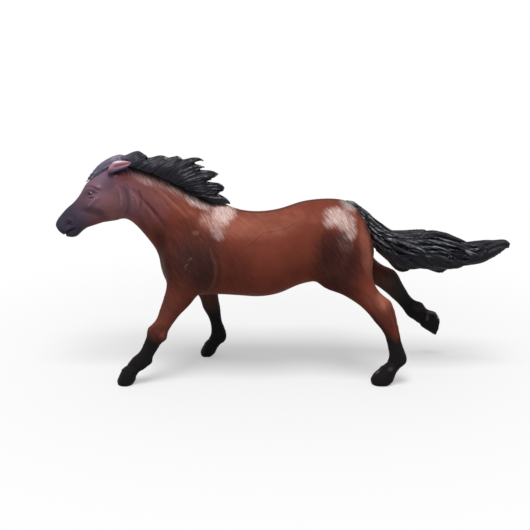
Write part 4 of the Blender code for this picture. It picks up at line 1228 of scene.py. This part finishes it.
def haired(name, node_name, paths, core_slim, lean, pressed=()):
    """Melts locks into a copy of a node, presses it down in places, and finishes the piece."""
    hair = remade([node_name], -core_slim, hair_voxel, (swept(paths),))
    soften(hair, hair_rounds)
    points = points_of(hair)
    hair_places = picture_places(points * (1.0, 0.0, 1.0) - np.abs(points) * (0.0, 1.0, 0.0))
    points[:, 2] -= airbrushed(pressed, hair_places)
    points = np.clip(points, low_corner, high_corner)
    move_points(hair, points)
    raised = ((points - evened(points, edges_of(hair), raised_rounds)) * normals_of(hair)).sum(1)
    # Painted glints lie on the ridges only, most on faces that turn sideways.
    on_poll = 1.0 - eased(points[:, 0], *poll_columns)
    glints = np.maximum(airbrushed(hair_glints, hair_places), on_poll)
    glints = least_glint + (1.0 - least_glint) * glints
    sideways = eased(np.abs(normals_of(hair)[:, 1]), 0.05, 0.5)
    glints *= least_side_glint + (1.0 - least_side_glint) * sideways
    # Painted violet glare over the poll and, faintly, the crest.
    glared = np.maximum(
        1.0 - eased(points[:, 0], *poll_glare_columns),
        crest_glare * (1.0 - eased(points[:, 0], *crest_columns)),
    )
    in_dock = eased(points[:, 0], *dock_start) * (1.0 - eased(points[:, 0] + points[:, 2], *dock_end))
    carry_masks(hair, {
        "raised": np.clip((raised - raised_start) / raised_span, 0.0, 1.0) * glints,
        "tip": airbrushed(worn_tips, hair_places),
        "lean": np.full(len(points), math.radians(lean)),
        "dock": in_dock,
        "poll": glared * (0.45 + 0.55 * eased(points[:, 0], *forelock_columns)),
    })
    finished(name, hair, hair_paint, "black_hair", node_name)


hair_random = np.random.default_rng(11)


def tapered(count, thick, start=0.35, end=0.12):
    """Radii along a lock: full in its middle, thinner at its root and thin at its tip."""
    place = np.linspace(0.0, 1.0, count)
    rise = start + (1.0 - start) * eased(place, 0.0, 0.25)
    return thick * rise * (1.0 - (1.0 - end) * eased(place, 0.45, 1.0))


# The tail's locks run along its core, each at its own share of the core's height.
tail_core_voxel = 0.5
station_count = 40
station_reach = 1.2
long_wave, short_wave = 15.0, 2.3
tail_core = remade(["tail"], 0.0, tail_core_voxel)
core_points = points_of(tail_core)
tail_stations = np.linspace(core_points[:, 0].min() + 0.6, core_points[:, 0].max() - 0.3, station_count)
tail_slices = [core_points[np.abs(core_points[:, 0] - x) < station_reach] for x in tail_stations]
tail_top = np.array([part[:, 2].max() for part in tail_slices])
tail_low = np.array([part[:, 2].min() for part in tail_slices])
tail_half_width = np.array([np.abs(part[:, 1]).max() for part in tail_slices])


def tail_path(start, end, share, side, wave, phase, count=26):
    """A lock's points on the tail's surface, from one x to another, at a share of its height."""
    x = np.linspace(start, end, count)
    long_swing = wave * np.sin(2 * np.pi * (x - start) / long_wave + phase)
    short_swing = 0.4 * wave * np.sin(x / short_wave + phase)
    shares = np.clip(share + long_swing + short_swing, 0.02, 0.98)
    top, low, half_width = (np.interp(x, tail_stations, v) for v in (tail_top, tail_low, tail_half_width))
    y = side * (half_width - 0.4) * np.sqrt(np.clip(1.0 - (2 * shares - 1) ** 2, 0.0, 1.0))
    z = low + 0.5 + shares * (top - low - 1.0)
    return np.stack((x, y, z), axis=1)


def from_picture(place, y):
    """The point in mm that is seen at a place in the picture, at a distance y from the middle plane."""
    across, down = np.array(place, float) - picture_side / 2
    way = picture_lens * -towards_camera - down * up_picture + np.array((across, 0.0, 0.0))
    return camera_place + way * (y - camera_place[1]) / way[1]


# What the locks lie on: the skin and the cores of mane, forelock and tail.
bm = bmesh.new()
bm.from_mesh(skin)
for name in ("tail", "mane_front", "mane_middle", "mane_rear", "forelock"):
    bm.from_mesh(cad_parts[name].data)
ground = BVHTree.FromBMesh(bm)
bm.free()


spread_columns = (230, 340, 368, 388)
spread_limits = (9.0, 3.8, 3.8, 8.0)
hang_points = 4.0
laid_evening = 5


def laid(places):
    """Points in mm where a line drawn in the picture meets the horse.

    Past the horse's outline the line hangs free, and goes over to the middle plane.
    Where the tail leaves the rump, no point lies farther from the middle plane than the dock's width.
    """
    found = []
    for place in places:
        spread = np.interp(place[0], spread_columns, spread_limits)
        way = from_picture(place, 0.0) - camera_place
        hit = ground.ray_cast(Vector(camera_place * MM), Vector(way).normalized())[0]
        found.append(max(hit.y / MM, -spread) if hit and hit.y < 0.0 else np.nan)
    found = np.array(found)
    known = np.nonzero(~np.isnan(found))[0]
    if len(known) == 0:
        found[:] = 0.0
    else:
        for i in np.nonzero(np.isnan(found))[0]:
            nearest = known[np.abs(known - i).argmin()]
            away = min(abs(i - nearest) / hang_points, 1.0)
            found[i] = found[nearest] * (1.0 - away)
    found = np.pad(found, laid_evening // 2, mode="edge")
    found = np.convolve(found, np.full(laid_evening, 1.0 / laid_evening), mode="valid")
    return np.array([from_picture(place, y) for place, y in zip(places, found)])


def lock(places, thick, start=0.4, end=0.15, sink=0.15, count=22):
    """A pair of locks, one on each side, along a line drawn in the picture, with its radius in mm."""
    near = laid(through(places, count))
    near[:, 1] += sink
    radii = tapered(count, thick, start, end)
    return [(near, radii), (near * (1.0, -1.0, 1.0), radii)]


def middle_lock(places, thick, end=0.5, count=22):
    """One lock in the middle plane, along a line drawn in the picture, with its radius in mm."""
    path = np.array([from_picture(place, 0.0) for place in through(places, count)])
    return [(path, thick * (1.0 - (1.0 - end) * eased(np.linspace(0.0, 1.0, count), 0.7, 1.0)))]

fan_jitter = (0.25, 0.75)
fan_stray = 0.3
fan_sinks = (-0.15, 0.3)
fan_radii = (0.8, 1.15)
fan_start, fan_end = 0.45, 0.2


def fan(upper, lower, count, thick):
    """Locks that fill the band between two lines drawn in the picture."""
    made = []
    for i in range(count):
        share = (i + hair_random.uniform(*fan_jitter)) / count
        stray = hair_random.normal(0.0, fan_stray, (len(upper), 2))
        places = np.array(upper) * (1 - share) + np.array(lower) * share + stray
        sink = hair_random.uniform(*fan_sinks)
        made += lock(places, thick * hair_random.uniform(*fan_radii), fan_start, fan_end, sink)
    return made


# Bands of locks: upper line, lower line, count and radius
mane_bands = {
    "mane_front": [(
        [(119, 158.5), (127, 155.6), (133, 153.4), (139, 152.4), (144, 155)],
        [(126, 165.5), (132, 166), (139, 164.5), (144, 162.5), (149, 160.5)], 12, 0.42,
    )],
    "mane_middle": [(
        [(134, 167), (142, 162.5), (151, 159.8), (157, 157.2), (162.5, 156.6), (167, 158.6)],
        [(149, 174), (154, 169.5), (159, 165.5), (163, 162.4), (166, 160.6), (168.5, 159.8)], 13, 0.37,
    ), (
        [(149, 172), (157, 165.5), (166, 161), (172, 158.2), (177.5, 157.2), (182, 159)],
        [(163, 179), (168, 173), (174, 167.5), (178, 164), (181, 162), (183.5, 160.8)], 13, 0.37,
    )],
    "mane_rear": [(
        [(159, 177), (169, 168.5), (178, 162.6), (186, 159.2), (193, 158.4), (199, 158.4), (203.4, 160.6)],
        [(169, 182), (177, 174), (185, 167.5), (192, 163.6), (197, 161.4), (201, 160.6), (203.6, 161.2)],
        10, 0.36,
    ), (
        [(167, 181), (177, 174), (187, 168.4), (196, 166), (204.4, 166.6)],
        [(175, 184), (183, 177.5), (191, 172.5), (198, 169.6), (204.6, 167.4)], 7, 0.36,
    ), (
        [(172, 183), (182, 178), (192, 173), (203, 170.4), (212, 171), (219, 173.8)],
        [(180, 187), (190, 185), (199, 183.2), (206, 181.6), (211, 180), (216, 176.6)], 10, 0.4,
    ), (
        [(182, 187), (195, 185), (207, 183.6), (216, 183.2), (221.5, 184.8), (225, 188)],
        [(190, 193), (200, 193.6), (208, 194), (213, 194), (218, 193.2), (223.5, 190.6)], 9, 0.4,
    ), (
        [(190, 194), (203, 196), (213, 197), (221, 197.8), (226.5, 199.4), (230.5, 202.4)],
        [(201, 199.6), (209, 202), (217, 203.6), (223, 204.2), (227, 204.4), (230.6, 204.4)], 8, 0.38,
    )],
}
forelock_band = (
    [(122, 157.5), (112, 160), (103, 164.4), (96, 170), (89, 178.6)],
    [(115, 164), (109, 168), (103, 172.5), (98, 176.6), (94, 181.5)], 7, 0.42,
)
# Locks in the middle plane: line and radius
mane_middle_locks = {
    "mane_front": [([(124, 162), (134, 160), (143, 159)], 1.2)],
    "mane_middle": [([(142, 169), (152, 164), (162, 160)], 1.0), ([(156, 174), (166, 166), (176, 161)], 1.0)],
    "mane_rear": [
        ([(168, 176), (182, 167), (194, 162)], 0.9), ([(176, 181), (190, 172), (200, 168.5)], 0.8),
        ([(182, 184), (196, 178), (211, 175)], 1.2), ([(190, 190), (204, 188.4), (217, 188)], 1.2),
        ([(200, 197), (213, 200), (224, 202)], 1.0),
    ],
}
poll_locks = [
    ([(108, 162.5), (115, 159.2), (122, 157.4), (130, 156)], 0.8),
    ([(110, 163.5), (118, 161), (126, 160), (134, 158)], 0.7),
]
mane_core_slim = 0.35
mane_leans = {"mane_front": 22.0, "mane_middle": 33.0, "mane_rear": 14.0}
for name, bands in mane_bands.items():
    mane = [path for band in bands for path in fan(*band)]
    for settings in mane_middle_locks[name]:
        mane += middle_lock(*settings)
    for settings in poll_locks if name == "mane_front" else ():
        mane += lock(*settings)
    haired(name + "_hair", name, mane, mane_core_slim, mane_leans[name])

# The forelock's tips spread out from one strand, and finer locks lie over them.
forelock_top = np.array([(123, 156.5), (114, 158), (105, 161), (98, 165.6)])
forelock_low = np.array([(119, 162), (110, 165), (102, 169), (96, 174)])
forelock_tips = {0.0: (86.0, 182.0), 0.2: (87.5, 178.4), 0.4: (89.6, 175.2), 0.6: (93.0, 171.0)}
forelock_locks = [
    ([(110, 162), (106, 165), (101, 170), (98.5, 175.5)], 0.5, 0.4, 0.15, -0.1),
    ([(120, 158), (111, 161), (103, 166), (96.5, 172), (92, 179)], 0.5, 0.4, 0.15, -0.35),
    ([(121, 156.6), (112, 158.6), (104, 162.4), (97, 167.4), (91, 173.4)], 0.5, 0.4, 0.15, -0.35),
]
forelock_core_slim = 0.6
forelock_lean = 32.0
forelock = []
for share, tip in forelock_tips.items():
    places = [*(forelock_top * share + forelock_low * (1.0 - share)), tip]
    forelock += lock(places, 0.62, 0.5, 0.3, -0.1)
forelock += fan(*forelock_band)
for settings in forelock_locks:
    forelock += lock(*settings)
haired("forelock_hair", "forelock", forelock, forelock_core_slim, forelock_lean)

# The tail's locks: line, radius, share at the root, share at the tip, and how far they sink in
wisp_beads = [(405, 234.6), (409.5, 233.6), (414.5, 234.8), (419, 232.8), (423.5, 234.2)]
tail_locks = {
    "over the croup and down the dock": [
        ([(346, 200.4), (352, 203), (358, 208), (367, 216), (378, 226.5), (390, 233), (402, 234)],
         0.95, 0.2),
        ([(351, 205), (361, 213.5), (370, 223), (380, 231), (393, 236.5), (404, 239)], 0.75, 0.2),
        ([(354, 210), (362, 217.5), (370, 227), (379, 234), (390, 240)], 0.6, 0.2),
        ([(360, 213), (367, 219), (371, 223.5), (376, 227.6), (381, 231.6), (385, 236)],
         0.42, 0.4, 0.15, -0.1),
        ([(364, 219), (370.4, 226.4), (376, 232), (381, 235.6), (388, 238.6)], 0.42, 0.4, 0.15, -0.1),
        ([(356, 206.5), (360, 206.8), (362, 209.4), (358, 209.6), (355.5, 207.5), (357, 206.2)],
         0.3, 0.8, 0.8),
    ],
    "brown hair under the dock": [
        ([(366, 226), (374, 236), (383, 243), (394, 250), (402, 258)], 0.75),
        ([(369, 233), (375, 241), (384, 249.5), (394, 258), (401, 266)], 0.75),
        ([(370, 239), (376, 246), (387, 255.6), (396, 263.6), (403.4, 270.4)], 1.0, 0.4, 0.4),
        ([(390, 254), (398, 261), (405, 265.4), (412, 267.2), (420, 267)], 1.2, 0.5, 0.6),
        ([(412, 264), (422, 265.6), (432, 267), (442.6, 271.6)], 1.2, 0.5, 0.4),
        ([(430, 262), (440, 265), (450, 267), (462, 266)], 1.1, 0.5, 0.5),
    ],
    "wisp on top": [
        ([(394, 235), (402, 235.2), (408, 234.4), (414, 233.8), (421, 233.4), (426.4, 233.4)],
         1.0, 0.5, 0.8, -0.2),
        *(([(x - 2, y + 0.6), (x, y), (x + 2, y - 0.8)], 0.6, 0.7, 0.7, -0.9) for x, y in wisp_beads),
    ],
    "middle ribbons": [
        ([(384, 237.5), (394.5, 240.8), (401.4, 242.5), (412.9, 246), (422, 249.4), (428, 256)],
         1.0, 0.3, 0.2, -0.3),
        ([(390, 243), (395, 247), (401.4, 250), (410, 253.4), (416, 254.8), (427, 258)],
         0.75, 0.3, 0.2, -0.2),
        ([(393, 236), (401, 237.4), (413, 238.2), (424, 237.5), (435.5, 237.4), (450.4, 241)],
         0.8, 0.4, 0.15, 0.0),
        ([(398, 239.6), (413, 242), (424, 241.6), (435.5, 242), (447, 244), (463.6, 249)],
         0.95, 0.3, 0.2, -0.3),
        ([(404, 244), (414, 246.5), (424, 247.5), (435.5, 247.4), (444, 249), (458.4, 256.4)],
         0.7, 0.4, 0.15, -0.1),
        ([(410, 249), (424, 252), (435.5, 252.2), (445.8, 253), (456, 259.6)], 0.6),
        ([(425, 233.4), (434, 234.2), (445, 236), (453, 239), (463, 241.4), (470, 245)], 0.8),
        ([(440, 238.6), (452, 242.6), (461, 246), (468, 250), (473, 251.6)], 0.7, 0.4, 0.15, 0.0),
    ],
    "under locks": [
        ([(388, 250), (395, 257), (400, 263), (403.6, 269.6)], 1.1, 0.5, 0.4),
        ([(392, 250), (400, 258), (407, 264), (411, 266)], 0.9, 0.5, 0.5),
        ([(398, 256), (409, 262), (420, 265.4), (430, 266)], 1.0, 0.5, 0.5),
        ([(412, 259), (424, 262.4), (435, 266), (441, 269)], 1.0, 0.4, 0.5),
        ([(424, 258), (434, 261.6), (442, 266)], 0.9, 0.4, 0.6),
        ([(420, 254.6), (432, 257), (443, 262), (455, 267.4)], 0.9, 0.4, 0.4),
        ([(430, 254.6), (442, 257.6), (454, 262), (466, 264.6)], 0.8),
        ([(405, 256), (418, 258), (430, 260), (440, 264)], 0.5),
    ],
    "tip": [
        ([(462, 248), (470, 253), (478, 255.6), (484, 253), (487, 249.4)], 0.85, 0.4, 0.5, -0.2),
        ([(468, 249.4), (476, 249.6), (484, 246.6), (487.5, 248)], 0.6, 0.4, 0.5, -0.2),
        ([(470, 245.8), (478, 246), (487, 243.8), (495, 242.8), (503, 242.8)], 0.75, 0.4, 0.5),
        ([(476, 251), (487, 248.4), (496, 245), (505, 243), (509.6, 244.8)], 0.85, 0.4, 0.7),
        ([(462, 257), (477, 258), (489, 253), (500, 248), (509, 246.6)], 0.8, 0.4, 0.7),
        ([(456, 262), (470, 261.6), (484, 258.5), (496, 253), (505, 249.6)], 0.8),
        ([(452, 266), (466, 264), (481, 261.5), (493, 256.5), (502, 252.4)], 0.7),
    ],
}
# Locks in the middle plane under the hanging tips: line, radius and share at the tip
tail_middle_locks = [
    ([(378, 248), (386, 255), (393, 261), (398.6, 266.2), (403, 269.4)], 1.3, 0.6),
    ([(395, 260), (404, 264.6), (413, 265.8), (422, 264.4), (432, 266)], 1.2),
    ([(424, 261), (432, 265), (438.6, 268.6), (443, 272)], 1.25, 0.4),
    ([(398, 264), (403.6, 267.6), (408, 266.6)], 1.1, 0.8),
    ([(436, 265), (442.4, 268.4), (447, 266.6)], 1.1, 0.8),
    ([(434, 262), (445, 264.6), (456, 265.6), (467, 262.6)], 1.2),
]
fine_locks = 9
fine_wave = 0.03
fine_starts, fine_ends = (30.0, 38.0), (64.0, 79.0)
fine_radii = (0.32, 0.45)
tail_core_slim = 0.65
tail_lean = -18.0
wisp_dip = ((410, 227), (22, 9), 0, 0.85)
tail = []
for locks in tail_locks.values():
    for settings in locks:
        tail += lock(*settings)
for side in (-1.0, 1.0):
    for i in range(fine_locks):
        start = hair_random.uniform(*fine_starts)
        end = hair_random.uniform(*fine_ends)
        phase = hair_random.uniform(0, 6.28)
        path = tail_path(start, end, (i + 0.5) / fine_locks, side, fine_wave, phase)
        tail.append((path, tapered(len(path), hair_random.uniform(*fine_radii))))
for settings in tail_middle_locks:
    tail += middle_lock(*settings)
haired("tail_hair", "tail", tail, tail_core_slim, tail_lean, [wisp_dip])

# Floor and lamps
# A pale floor that turns plain white away from the horse, a white room and one big soft lamp above.
# They are the studio, and no part of the toy.
floor_reach = 3.0
floor_grey = paint(0.42, 0.42, 0.42)
seen_grey = paint(0.93, 0.93, 0.93)
plain_white = paint(1, 1, 1)
room_light = 0.36


def seen_directly(tree):
    """1 where the camera sees a thing directly, in a gloss or through glass, 0 for other light."""
    path = node(tree, "ShaderNodeLightPath")
    seen = worked(tree, "ADD", path.outputs["Is Camera Ray"], path.outputs["Is Glossy Ray"])
    return worked(tree, "ADD", seen, path.outputs["Is Transmission Ray"], clamp=True)


floor_mesh = bpy.data.meshes.new("floor")
floor_corners = [(-floor_reach, -floor_reach, 0), (floor_reach, -floor_reach, 0)]
floor_corners += [(floor_reach, floor_reach, 0), (-floor_reach, floor_reach, 0)]
floor_mesh.from_pydata(floor_corners, [], [(0, 1, 2, 3)])
floor = bpy.data.objects.new("floor", floor_mesh)
scene.collection.objects.link(floor)
floor_paint, tree, shader = new_material("pale floor", 0.9)
shader.inputs["Specular IOR Level"].default_value = 0.0
seen = seen_directly(tree)
tree.links.new(layered(tree, floor_grey, seen_grey, seen), shader.inputs["Base Color"])
place = node(tree, "ShaderNodeTexCoord").outputs["Object"]
away = node(tree, "ShaderNodeVectorMath", {0: place}, operation="LENGTH").outputs["Value"]
far = node(
    tree, "ShaderNodeMapRange", {"Value": away, "From Min": 0.04, "From Max": 0.18, "To Min": 0.4},
    interpolation_type="SMOOTHSTEP",
).outputs["Result"]
glow = node(tree, "ShaderNodeEmission", {"Color": plain_white, "Strength": 1.0})
blend = node(tree, "ShaderNodeMixShader", {0: worked(tree, "MULTIPLY", seen, far)})
tree.links.new(shader.outputs[0], blend.inputs[1])
tree.links.new(glow.outputs[0], blend.inputs[2])
tree.links.new(blend.outputs[0], tree.nodes["Material Output"].inputs["Surface"])
floor_mesh.materials.append(floor_paint)

scene.view_settings.view_transform = "Standard"
world = bpy.data.worlds.new("world")
scene.world = world
world.use_nodes = True
tree = world.node_tree
shade = node(tree, "ShaderNodeMix", {0: seen_directly(tree), 2: room_light, 3: 1.0}, data_type="FLOAT")
tree.links.new(shade.outputs[0], tree.nodes["Background"].inputs["Strength"])
tree.nodes["Background"].inputs["Color"].default_value = plain_white


def softbox(name, place, aim, size, power):
    """A square soft lamp that faces a place."""
    lamp = bpy.data.lights.new(name, "AREA")
    lamp.size = size
    lamp.energy = power
    holder = bpy.data.objects.new(name, lamp)
    holder.location = place
    holder.rotation_euler = (Vector(aim) - Vector(place)).to_track_quat("-Z", "Y").to_euler()
    scene.collection.objects.link(holder)


softbox("key", (-0.02, -0.28, 0.85), (0, 0, 0.04), 0.40, 5.5)
